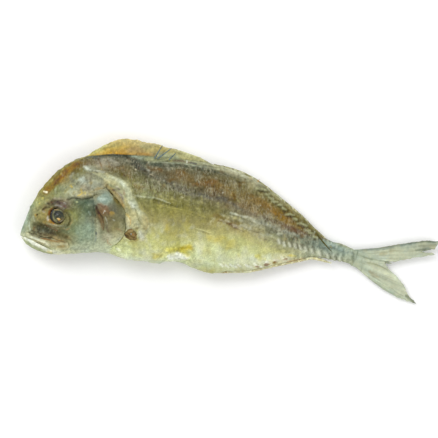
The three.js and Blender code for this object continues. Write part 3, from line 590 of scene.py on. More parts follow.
COVER_MARKS = [
    ("99a99e", 0.85, 7.0, 0.6, [(76.6, 48.6), (82.6, 50.4), (86.6, 48.6)]),
    ("b4c2b8", 0.7, 3.4, 0.8, [(77, 48), (83, 49.4)]),
    ("8a9484", 0.7, 4.0, 0.9, [(83.4, 55), (88, 52)]),
    ("6b5b2c", 0.85, 3.6, 0.8, [(90.6, 50), (94.4, 45.4)]),
    ("6d6c5c", 0.8, 7.0, 0.9, [(88, 42), (91, 38)]),
    ("575636", 0.6, 3.0, 0.8, [(95, 46), (99, 40), (100.8, 33), (100.4, 27)]),
    ("8e745c", 0.8, 5.0, 0.8, [(76, 43.4), (80.6, 40), (82.6, 41)]),
    ("5f4a3a", 0.7, 1.6, 0.8, [(74.6, 44.6), (79.4, 41.2), (82, 42.2)]),
    ("85705a", 0.6, 3.2, 0.9, [(80, 39), (82, 36.6)]),
    ("84664a", 0.7, 3.0, 0.8, [(85, 37), (86.4, 34.6)]),
    ("b8954a", 0.75, 3.0, 0.9, [(88.2, 35.8), (89.6, 35)]),
    ("a08a50", 0.6, 4.0, 0.9, [(88.6, 34.6)]),
    # painted shade in the crease at the cover's front edge
    ("3e291b", 0.9, 2.4, 0.7, [(73, 42.6), (75.2, 37), (77.4, 33.4)]),
    ("3f2a1a", 0.85, 1.5, 0.7, [(77, 35.4), (79.6, 30.6), (80.4, 26.6)]),
    ("7f6244", 0.75, 2.4, 0.9, [(76.4, 34), (78.4, 28), (79.6, 20.4)]),
    ("6b4a2e", 0.7, 1.2, 0.8, [(79.8, 30), (81, 24), (80.6, 19)]),
    ("c2c4ba", 0.8, 0.8, 0.8, [(80, 35), (81.6, 37.6), (82.4, 36.6)]),
    ("b6b8ac", 0.6, 0.9, 0.9, [(82, 31.6), (83.4, 28.6), (84.6, 24.4)]),
    ("c9cbc2", 0.6, 1.0, 0.8, [(89.6, 29.2), (91.4, 28)]),
    ("a9a890", 0.7, 4.0, 0.9, [(74.6, 28), (75.4, 20), (74.8, 12)]),
    ("b6b894", 0.7, 1.4, 0.8, [(73.8, 30), (75, 22), (74.4, 17)]),
    ("8f866a", 0.7, 6.0, 0.9, [(84, 26), (86, 20)]),
    ("7d7856", 0.7, 8.0, 0.9, [(93.4, 31), (95.4, 24)]),
    ("6f5d50", 0.6, 2.2, 0.8, [(83.6, 22), (84.8, 17)]),
    ("a7a389", 0.8, 8.0, 0.9, [(80, 12), (86, 11)]),
    ("c0bca0", 0.6, 3.0, 0.9, [(84, 15), (86, 9)]),
    ("4f585c", 0.85, 1.6, 0.8, [(73.4, 17.6), (73.2, 14.4)]),
    ("7f8b88", 0.7, 1.4, 0.8, [(73.2, 13), (72.4, 9), (71.4, 5)]),
    ("b3ae8a", 0.8, 6.0, 0.9, [(91, 14), (96, 16)]),
    ("aaa684", 0.7, 4.0, 0.9, [(97, 25), (98.8, 17)]),
    ("a08464", 0.4, 2.0, 0.9, [(92.6, 20.6), (96, 19.6), (98.6, 17)]),
    ("c3c2a2", 0.8, 3.6, 0.8, [(85, 5), (91, 7.6), (96.4, 11.4)]),
    ("b99a78", 0.7, 1.1, 0.8, [(84.2, 10), (84.4, 6.4), (88, 5)]),
    ("c2c8ac", 0.8, 4.0, 0.8, [(72, 1), (79, 1.4), (86, 2.4)]),
    ("7c897a", 0.4, 5.4, 1.0, [(82, 52), (87, 51)]),
    ("a8a582", 0.5, 4.6, 1.0, [(99, 40), (101, 33)]),
]

JAW_MARKS = [
    ("ccccaa", 0.85, 4.6, 0.8, [(0, 17), (5, 15.6), (10, 13)]),
    ("a38c58", 0.7, 2.4, 0.9, [(4.6, 17.4), (6, 16.4)]),
    ("dedec4", 0.85, 3.4, 0.8, [(10, 12.2), (16, 10.6), (22.6, 8), (28, 4.8)]),
    # these two: painted shade along the jaw's upper border, under the hollow
    ("3b2f24", 0.95, 5.9, 0.7, [(11, 16), (17.8, 15), (24.7, 13.6), (33.6, 12)]),
    ("54442e", 0.7, 3.0, 0.9, [(34, 12.6), (41, 11.4), (46, 9.6)]),
    ("8a5c30", 0.75, 1.5, 0.9, [(20.6, 11.4), (26.1, 10.2), (32.2, 8.7), (38, 7.4)]),
    ("9c7440", 0.5, 1.3, 0.9, [(30, 9), (38, 7.6), (45, 7)]),
    ("b5a070", 0.7, 2.0, 0.9, [(29.5, 8.7), (36.3, 6.9), (43.2, 6.2)]),
    ("d0c9a2", 0.8, 2.2, 0.8, [(30.9, 5.9), (39.1, 5.6), (45.9, 5.4)]),
    ("ab9868", 0.8, 3.0, 0.9, [(37, 3.2), (43, 3.6)]),
    ("c9c6a2", 0.7, 1.6, 0.9, [(30, 2.6), (38, 0.6), (45, 1.6)]),
    ("8a7444", 0.7, 1.0, 0.8, [(13, 9.8), (18, 8.2), (24.7, 5.8)]),
    ("8c8468", 0.55, 4.6, 0.9, [(29, 21.6), (36, 20.4)]),
]

LOWER_JAW_MARKS = [
    ("b6bb94", 0.8, 5.0, 0.8, [(0, 13), (6, 6), (14, 1.6)]),
    ("f1f1e0", 1.0, 4.6, 0.5, [(0, 15.6), (3, 13.6), (8.9, 10), (17.8, 5), (24.7, 1.6), (33.6, -1.4), (39, -3)]),
    ("f8f8ec", 0.85, 2.0, 0.8, [(5, 12.2), (11, 8.6), (18, 4.8), (26, 1)]),
    ("c8be80", 0.8, 2.4, 0.9, [(27, -1.6), (33, -3.6), (40, -4.6)]),
    ("b3a47c", 0.6, 0.9, 0.8, [(14, 8), (20, 5), (28, 1.6)]),
    ("7f8858", 0.55, 1.8, 0.8, [(3, 7.0), (9, 2.4), (18, -2.4), (28, -5)]),
]

FLESH_LINES = [
    [(58, 80, "8f7a3c"), (80, 82, "a07a34"), (104, 78, "9a6c2c"), (130, 74, "95703a"), (180, 70, "9a8a5c")],
    [(58, 88, "b0a868"), (80, 92, "c6a24c"), (95, 91, "bf903a"), (110, 90.5, "b0925a"), (125, 90.5, "a98c58"),
     (140, 90, "b4b084"), (160, 87, "bdb47c"), (185, 84, "b2ad84")],
    [(58, 90, "c8c68a"), (76, 95.5, "c9bd72"), (90, 98, "c6a858"), (104, 98, "bca364"), (120, 97, "b7a670"),
     (135, 95, "b8a66a"), (150, 92, "c4bc86"), (170, 88, "b4b083"), (185, 84, "bab78e")],
    [(58, 92, "d0cc94"), (78, 99, "ccc88c"), (92, 105, "cbb87a"), (106, 107, "cfbf86"), (122, 104.5, "c8ba8c"),
     (140, 98.5, "c4b682"), (157, 95, "c8c494"), (172, 90.5, "cac596"), (185, 84, "c2bf98")],
]

FLESH_MARKS = [
    ("bb9440", 0.4, 4.0, 0.9, [(82, 96), (88, 93.6)]),
    ("a9803a", 0.4, 3.0, 0.9, [(95, 95), (100, 96.4)]),
    ("cdb158", 0.5, 2.0, 0.9, [(90, 97.6), (97, 99.4), (104, 98.4)]),
    ("8d8f64", 0.5, 4.0, 0.9, [(88, 99), (96, 101)]),
    ("a48c6c", 0.6, 4.6, 0.9, [(104, 96), (112, 96.6), (118, 95)]),
    ("b0803f", 0.45, 2.2, 0.9, [(112, 92.6), (122, 92), (130, 91.6)]),
    ("9ea080", 0.5, 3.6, 0.9, [(116, 100), (124, 99)]),
    ("b0a25c", 0.5, 2.6, 0.9, [(130, 99), (140, 96), (150, 93.4)]),
    ("93927a", 0.5, 2.6, 0.9, [(132, 94), (138, 93)]),
    ("a6a88c", 0.4, 5.0, 1.0, [(126, 92.4), (134, 91.2)]),
    ("b2bb9e", 0.75, 6.0, 1.0, [(132, 91), (142, 89.6), (150, 88.4)]),
    ("bda78c", 0.85, 2.8, 0.7, [(144, 85.6), (148.4, 84.6)]),
]


def on_fold(points):
    """1 on the loose sheet of skin behind the gill cover, over a ragged edge."""
    ragged = points[:, :2] + 0.8 * drift(points, 5.0, 15, 17, layers=3)
    return inside(ragged, SHOULDER_FOLD, 1.4)


def skin_colour(points):
    """The skin of one flank, head and trunk, at points in fish millimetres, with painted highlights and painted
    shade among its marks.
    """
    wobble = drift(points, 7.0, 3, 5)
    place = points[:, :2] + 0.9 * wobble
    trunk = across_lines(place, SKIN_LINES)
    rgb = across_lines(place, HEAD_LINES)
    edge = np.array(SHOULDER)[::-1]
    behind = ramp(-1.5, 1.5, place[:, 0] - np.interp(place[:, 1], edge[:, 1], edge[:, 0]))
    rgb += (trunk - rgb) * behind[:, None]
    fine = points[:, :2] + 0.4 * wobble
    frayed = fray(points, 7)
    brush(rgb, fine, FLANK_MARKS, frayed)
    brush(rgb, fine, HEAD_MARKS, frayed)
    brush(rgb, fine, SHOULDER_SHADE_AND_MARKS, frayed)
    sheet = rgb.copy()
    coat(sheet, np.ones(len(points)), "b2ae88")
    brush(sheet, fine, FOLD_MARKS_HIGHLIGHTS_AND_SHADE, frayed)
    rgb += (sheet - rgb) * on_fold(points)[:, None]
    brush(rgb, fine, SHOULDER_SKIN, frayed)
    brush(rgb, points[:, :2], FIN_EDGE_MARKS, frayed)
    return rgb


def read_points(mesh):
    """Places of a mesh's points, in fish millimetres."""
    flat = np.empty(len(mesh.vertices) * 3, np.float32)
    mesh.vertices.foreach_get("co", flat)
    return flat.reshape(-1, 3).astype(float) * MM + SNOUT


def write_points(mesh, points):
    """Moves a mesh's points to these places, in fish millimetres."""
    mesh.vertices.foreach_set("co", ((points - SNOUT) / MM).astype(np.float32).ravel())
    mesh.update()


def read_normals(mesh):
    """The way the surface faces at each of a mesh's points."""
    flat = np.empty(len(mesh.vertices) * 3, np.float32)
    mesh.vertex_normals.foreach_get("vector", flat)
    return flat.reshape(-1, 3).astype(float)


def placed(name, data):
    """A new object in the scene for a mesh, a lamp or a camera."""
    thing = bpy.data.objects.new(name, data)
    bpy.context.scene.collection.objects.link(thing)
    return thing


def smooth_piece(name, mesh):
    """A new piece in the scene with this mesh, shaded smooth."""
    for face in mesh.polygons:
        face.use_smooth = True
    return placed(name, mesh)


def remade(name, node, grain, rounds):
    """A fine closed mesh in the shape of a CAD node, for sculpting: even facets this many millimetres across.

    The steps that its facets leave on slopes are smoothed this many rounds.
    """
    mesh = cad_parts[node].data.copy()
    mesh.materials.clear()
    work = bmesh.new()
    work.from_mesh(mesh)
    bmesh.ops.remove_doubles(work, verts=work.verts, dist=1e-6)
    work.to_mesh(mesh)
    work.free()
    rough = placed(name + "_rough", mesh)
    remesh = rough.modifiers.new("remesh", "REMESH")
    remesh.mode = "VOXEL"
    remesh.voxel_size = grain / MM
    remesh.adaptivity = 0.0
    smooth = rough.modifiers.new("smooth", "SMOOTH")
    smooth.factor = 0.5
    smooth.iterations = rounds
    graph = bpy.context.evaluated_depsgraph_get()
    fine = bpy.data.meshes.new_from_object(rough.evaluated_get(graph))
    fine.name = name
    bpy.data.objects.remove(rough)
    if "sharp_face" in fine.attributes:
        fine.attributes.remove(fine.attributes["sharp_face"])
    return smooth_piece(name, fine)


def settle(piece):
    """Rests a piece's lowest parts flat on the table."""
    points = read_points(piece.data)
    points[:, 2] = np.maximum(points[:, 2], 0.0)
    write_points(piece.data, points)


def sculpt(piece, height, side=0):
    """Pushes a piece's surface out by the height, in millimetres, that is found at each of its points.

    Side 1 leaves all but the upper face as it is, side -1 all but the lower face.
    """
    points, normals = read_points(piece.data), read_normals(piece.data)
    push = height(points, normals)
    if side:
        push = push * ramp(0.0, 0.5, normals[:, 2] * side)
    write_points(piece.data, points + normals * push[:, None])


# The sheen of the studio on the skin is taken off the paint, so that the lit colour is the one named.
HAZE = np.array([0.035, 0.03, 0.03])
LIGHT = np.array([0.95, 0.97, 0.93])


def widen(piece, reach):
    """Draws a plate's edges outwards in its own plane, so that no seam shows where it grows into the skin."""
    points, normals = read_points(piece.data), read_normals(piece.data)
    points[:, :2] += normals[:, :2] * reach(points)[:, None]
    write_points(piece.data, points)


def paint(piece, finish):
    """Stores a piece's colour and its roughness at each point."""
    rgb, rough = finish(read_points(piece.data), read_normals(piece.data))
    rgb = (rgb - HAZE) * LIGHT
    layer = piece.data.color_attributes.new("paint", "FLOAT_COLOR", "POINT")
    flat = np.concatenate([np.clip(rgb, 0.004, 1.0), np.clip(rough, 0.0, 1.0)[:, None]], axis=1)
    layer.data.foreach_set("color", flat.astype(np.float32).ravel())


def relief(place, marks):
    """Sum of ridges (and, below zero, furrows): height, width and path of each."""
    total = np.zeros(len(place))
    for high, width, path in marks:
        reach = nearness(place, path)[0]
        total += high * np.exp(-((reach / (width / 2.0)) ** 2))
    return total


def streaks(points, along, across, turn, seed):
    """Blotches drawn out along a direction this many degrees from the fish's length."""
    c, s = np.cos(np.radians(turn)), np.sin(np.radians(turn))
    x, y = points[:, 0] * c + points[:, 1] * s, points[:, 1] * c - points[:, 0] * s
    return mottle(np.stack([x / along, y / across, points[:, 2] / across], axis=1), 1.0, seed)


# Hard plates along the middle of the tail's stem, and bumps at the roots of the back fin's rays.
SCUTES = [(248.6, 8.2), (253.4, 5.8), (258.7, 5.3), (264, 3.8), (268.8, 2.9), (274, 1), (280.3, -1),
          (287.3, -3.4), (295.1, -6.2), (301, -8), (307, -9.6)]
BACK_BUMPS = [(229.7, 58.9), (233.9, 58.3), (238, 54.1), (240.7, 49.6), (244.8, 46.7), (249.6, 43.9), (253.7, 39.7),
              (257.2, 34.6), (260.5, 34.3), (264, 30.1), (268.1, 26), (272.9, 24), (276.4, 19.2), (279.1, 16.4),
              (283.2, 12.4)]


def scute_ridge(x, y):
    """Path of the ridge across the scute at this place."""
    return [(x - 0.4, y + 1.2), (x + 0.7, y - 1.8)]


def scute_gap(x, y):
    """Path of the furrow behind the scute at this place."""
    return [(x + 2.0, y + 2.2), (x + 3.0, y - 1.8)]


# Relief, here and below: height, width and path, in millimetres.
BODY_RELIEF = [
    # loose fold of skin behind the gill cover, and the trough before it
    (-1.5, 4.2, [(84, 59.6), (91, 53.6), (96.4, 47), (101, 40), (104, 33)]),
    (0.5, 1.6, [(84, 66), (93, 63.4), (99, 58.8)]),
    (-0.5, 3.4, [(106, 67), (110.4, 57), (114, 49), (119, 41.6), (126, 34), (128, 24), (125.4, 14)]),
    (0.6, 3.4, [(88, 69.4), (96, 66.4), (101.6, 60), (104.4, 52), (108, 45), (112.6, 39)]),
    (-0.6, 1.8, [(110.2, 40), (113, 34.4), (114, 29.4), (116.6, 24.4)]),
    (0.5, 2.2, [(116.4, 35), (119.6, 30), (119, 22)]),
    (-0.4, 1.6, [(101, 49), (103.4, 43), (106, 37.6), (107.4, 32)]),
    (0.4, 1.2, [(101.8, 33.8), (105.8, 30.8), (106.7, 26.6), (105.5, 22)]),
    (1.0, 3.2, [(101, 11.4), (107, 9.6), (112.6, 13.4), (113.2, 19), (108.6, 22.6)]),
    # head
    (-1.3, 2.0, [(46.4, 48.4), (50, 49.6), (59.6, 48.6), (66, 49.2), (74.4, 52.4)]),
    (0.9, 2.6, [(47, 50.8), (55, 52), (64, 51.6), (72, 54)]),
    (-1.9, 9.0, [(16, 22), (24, 20), (31, 17)]),
    (-0.9, 6.0, [(33, 16), (42, 14)]),
    (0.7, 1.8, [(18, 16), (27, 13), (36, 10.6), (44, 9)]),
    (0.7, 2.2, [(12, 28), (20, 26.6), (27, 23.6)]),
    (0.9, 2.4, [(27.6, 41.6), (33.4, 45.2), (40.4, 44.4), (46, 39.4)]),
    (-0.7, 1.5, [(25.6, 42.4), (31.8, 47), (40.6, 46.8), (48, 41)]),
    (0.5, 1.6, [(24.6, 44.4), (31, 49), (41, 48.6)]),
    (0.8, 2.2, [(28.4, 38.4), (27.2, 34), (28.4, 28.6), (32.6, 24.4), (38.4, 23), (44.4, 24)]),
    (0.5, 2.0, [(48.4, 38), (49.8, 32), (48, 27)]),
    (-0.6, 1.4, [(50.6, 39), (52.4, 32.6), (50, 25), (44, 20.8)]),
    (-1.1, 1.9, [(16.9, 33.8)]),
    (0.5, 2.0, [(14.6, 34), (15.2, 31.4)]),
    (0.5, 1.8, [(22.8, 56.3), (26.2, 55.4)]),
    (0.45, 1.6, [(10, 42), (12.4, 36), (11, 28)]),
    (-0.5, 1.6, [(7.6, 36), (8, 28), (7, 20)]),
    (0.6, 7.0, [(56, 36), (60, 24), (60, 12)]),
    (-0.5, 1.5, [(69.6, 44), (70.8, 32), (70, 18), (68, 8)]),
    (0.6, 2.2, [(60.4, 67.2), (63, 66)]),
    (0.6, 3.0, [(70.6, 65.4), (75, 63)]),
    (0.4, 2.4, [(62, 80), (67.4, 77)]),
    (0.4, 1.6, [(72, 76.4), (81, 74.8)]),
    (-0.4, 1.6, [(64, 76.4), (70, 74.4), (79, 73.6)]),
    (-0.3, 1.5, [(75.6, 88), (77.6, 82), (79.6, 77.4)]),
    (-0.7, 2.4, [(40, 62), (50, 64.6), (58, 62.4)]),
    (-0.6, 2.6, [(30, 56), (38, 55), (46, 56)]),
    # lateral line and the creases of the flank
    (0.6, 1.5, [(109, 53), (113.6, 51.4), (118.6, 50.8), (124, 50.8), (129.9, 50), (137.5, 47.6), (147, 43.8)]),
    (-0.45, 1.6, [(112, 49.6), (122, 48.6), (131, 47.4), (140, 44.4), (152, 40.4), (166, 34.6)]),
    (0.45, 1.3, [(131, 43.4), (141, 41.6), (152, 39.6), (166, 36), (180, 31)]),
    (0.45, 1.4, [(168, 20.8), (175, 18.8), (183, 16.2)]),
    (-0.4, 1.6, [(169, 18.6), (176, 16.6), (184, 14)]),
    (0.6, 1.7, [(201, 35.8), (208.4, 33.8), (217, 32.2), (224, 29.6), (231, 26.4), (240, 24)]),
    (-0.8, 2.4, [(199, 24.6), (205, 23), (211, 21), (222, 18.4), (236, 14)]),
    (0.4, 1.5, [(150, 54), (157, 50), (166, 46.6), (176, 43)]),
    (-0.5, 3.2, [(113, 79), (123, 73.4), (134, 68.8), (149, 62.4), (168, 53.6), (182, 50.6), (200, 46)]),
    (-0.6, 3.0, [(122, 83), (148, 80.6), (165, 78.4), (190, 73)]),
    (0.6, 1.2, [(123, 84.4), (134, 84.2), (143, 83.8), (154, 83), (163, 81.8), (177, 79.6), (197, 76)]),
    # breast and belly
    (0.9, 5.0, [(148, -5.4), (160, -6.2)]),
    (0.6, 2.4, [(142, 0), (150, 1.6), (158, 3.6), (165, 4.2)]),
    (-0.8, 3.0, [(134, -8), (138, -2), (142, 3)]),
    (0.7, 3.4, [(93, 1.6), (98, -2.4), (104, -6)]),
    (-0.6, 2.6, [(104, 2), (112, -2), (118, -8)]),
    (-0.6, 5.0, [(172, -15), (178, -16)]),
    (-0.4, 2.2, [(164, 10), (174, 5), (186, 2)]),
    (0.4, 2.2, [(190, 4), (204, 2), (216, -2)]),
    # root of the tail
    (0.5, 1.3, [(305.9, 5.8), (315, 2.4), (322, 0)]),
    (-0.6, 1.6, [(268, 12), (284, 8), (296, 6)]),
    (0.5, 1.4, [(285.7, 20), (290.8, 11.3), (300, -2)]),
]
BODY_RELIEF += [(0.5, 2.0, scute_ridge(x, y)) for x, y in SCUTES]
BODY_RELIEF += [(-0.45, 1.5, scute_gap(x, y)) for x, y in SCUTES]
BODY_RELIEF += [(0.35, 1.8, [(x - 2.4, y + 0.2), (x + 2.4, y - 0.6)]) for x, y in BACK_BUMPS]
BODY_RELIEF += [(-0.25, 1.5, [(x - 1.6, y - 2.0), (x + 3.2, y - 2.6)]) for x, y in BACK_BUMPS]

COVER_RELIEF = [
    (-0.9, 1.8, [(72.6, 42), (75, 35), (78, 28), (80.6, 21)]),
    (0.7, 2.0, [(76.4, 36), (79, 29), (79.8, 20)]),
    (0.6, 1.4, [(74.6, 44.6), (79.4, 41.2), (82, 42.2)]),
    (0.5, 1.2, [(80, 34), (82.4, 37)]),
    (-0.5, 1.3, [(83.4, 32), (84.8, 25), (84, 17)]),
    (0.5, 1.6, [(88, 50), (94, 44), (98.6, 36), (99.4, 26), (97.4, 16)]),
    (-0.5, 2.0, [(86, 47), (91, 41), (95, 33), (95.6, 25)]),
    (-0.5, 1.8, [(80, 13), (88, 11), (94, 13)]),
    (0.5, 1.2, [(86, 8), (92, 9.4), (96, 13)]),
]


def cover_height(points, normals):
    """A gill cover is one with the cheek in front and stands a little proud at its back edge."""
    own = relief(points[:, :2], COVER_RELIEF) + flaw(points, 44)
    free = ramp(74.0, 80.0, points[:, 0])
    return own * free + body_height(points, normals) * (1.0 - free) + 0.35 * free


# The tail's rays fan out from the middle of its root, and its blade lies this high.
TAIL_ROOT = np.array([300.0, -6.0])
TAIL_HEIGHT = 4.6


def rays(points):
    """Ridges that fan out from the tail's root, from -1 to 1, and how far out each place is."""
    away = points[:, :2] - TAIL_ROOT
    out = np.hypot(*away.T)
    turn = np.arctan2(away[:, 1], away[:, 0])
    bend = blotches(points, 22.0, 61, 2) * 0.018
    fan = np.stack([(turn + bend) * 26.0, out / 70.0, np.zeros(len(out))], axis=1)
    fine = np.stack([(turn + bend) * 64.0, out / 34.0, np.ones(len(out))], axis=1)
    return 0.6 * mottle(fan, 1.0, 62) + 0.5 * mottle(fine, 1.0, 63), out


def root_swell(points):
    """Thickens the root of the tail fin and draws it back, so that it grows out of the body's end."""
    near = 1.0 - ramp(321.0, 334.0, points[:, 0])
    points[:, 2] = TAIL_HEIGHT + (points[:, 2] - TAIL_HEIGHT) * (1.0 + 0.3 * near)
    points[:, 0] -= 3.0 * (1.0 - ramp(320.0, 323.5, points[:, 0]))
    return points


def body_height(points, normals):
    """Folds, dents, ribs and pores of the body's skin."""
    above = ramp(-0.4, 0.4, normals[:, 2])
    wobble = drift(points, 8.0, 11, 12)
    place = points[:, :2] + wobble * (0.6 + 2.2 * (1.0 - above))[:, None]
    marks = relief(place, BODY_RELIEF)
    x, y = points[:, 0], points[:, 1]
    trunk = ramp(84.0, 110.0, x) * (1.0 - ramp(285.0, 315.0, x))
    dents = 0.75 * blotches(points, 24.0, 21, 2) * (0.45 + 0.55 * trunk)
    folds = 0.3 * streaks(points, 16.0, 3.6, -18.0, 22) * trunk
    ribs = 0.16 * streaks(points, 2.4, 14.0, 8.0, 23) * trunk * (1.0 - ramp(36.0, 50.0, y))
    pores = 0.22 * blotches(points, 3.2, 24, 2) + 0.1 * mottle(points, 1.5, 25)
    nape = 0.3 * streaks(points, 7.0, 2.0, 12.0, 26) * (1.0 - ramp(90.0, 110.0, x)) * ramp(40.0, 56.0, y)
    face = 0.25 * streaks(points, 2.2, 5.0, 10.0, 27) * (1.0 - ramp(40.0, 60.0, x))
    back = 0.35 * streaks(points, 5.0, 2.2, -28.0, 28) * trunk * ramp(40.0, 60.0, y + 0.42 * (x - 150.0))
    marks += 0.5 * np.clip(mottle(points, 6.0, 13), -0.4, 0.4) + 0.6 * on_fold(points)
    return 1.5 * marks + 1.1 * dents + folds + ribs + pores + nape + face + back


def flaw(points, seed):
    """Small unevenness of a dried plate of bone."""
    return 0.28 * blotches(points, 6.0, seed, 3) + 0.1 * mottle(points, 1.2, seed + 5)


# The middle of the eye.
EYE_PLACE = np.array([37.2, 32.8])


def eye_height(points, normals):
    """A rim and a groove round the eye, a sunken lens and a raised middle."""
    out = np.hypot(*(points[:, :2] - EYE_PLACE).T) + 0.4 * blotches(points, 5.0, 41, 2)
    rim = 0.5 * np.exp(-(((out - 6.4) / 0.7) ** 2)) - 1.0 * np.exp(-(((out - 7.4) / 0.6) ** 2))
    sunken = 0.9 * np.exp(-((out / 4.6) ** 4))
    raised = 0.5 * np.exp(-((out / 2.2) ** 2))
    return rim - sunken + raised + 0.2 * blotches(points, 2.2, 42, 2)


def tail_height(points, normals):
    """Ridges of the rays on both faces of the tail, weaker towards the tips."""
    ridge, out = rays(points)
    flat = ramp(0.2, 0.6, np.abs(normals[:, 2]))
    return (0.3 * ridge + 0.35 * blotches(points, 9.0, 64, 2)) * flat * (1.0 - 0.4 * ramp(70.0, 110.0, out))


def flecks(points, size, seed, share, soft=0.3):
    """1 on small ragged specks that cover about this share of the surface, 0 between them."""
    value = 0.7 * mottle(points, size, seed) + 0.5 * mottle(points, size * 0.45, seed + 3)
    level = np.quantile(value, 1.0 - share)
    return ramp(level, level + soft, value)


def weathered(rgb, points, deep=0.1, fine=0.12, seed=70):
    """Uneven light and dark of dried skin, coarse and fine."""
    tone = deep * blotches(points, 5.0, seed, 3) + fine * mottle(points, 1.5, seed + 9)
    rgb *= np.clip(1.0 + 1.6 * tone, 0.4, 1.7)[:, None]
    warm = 0.045 * blotches(points, 7.0, seed + 20, 2)
    rgb *= 1.0 + warm[:, None] * np.array([1.0, 0.1, -1.3])


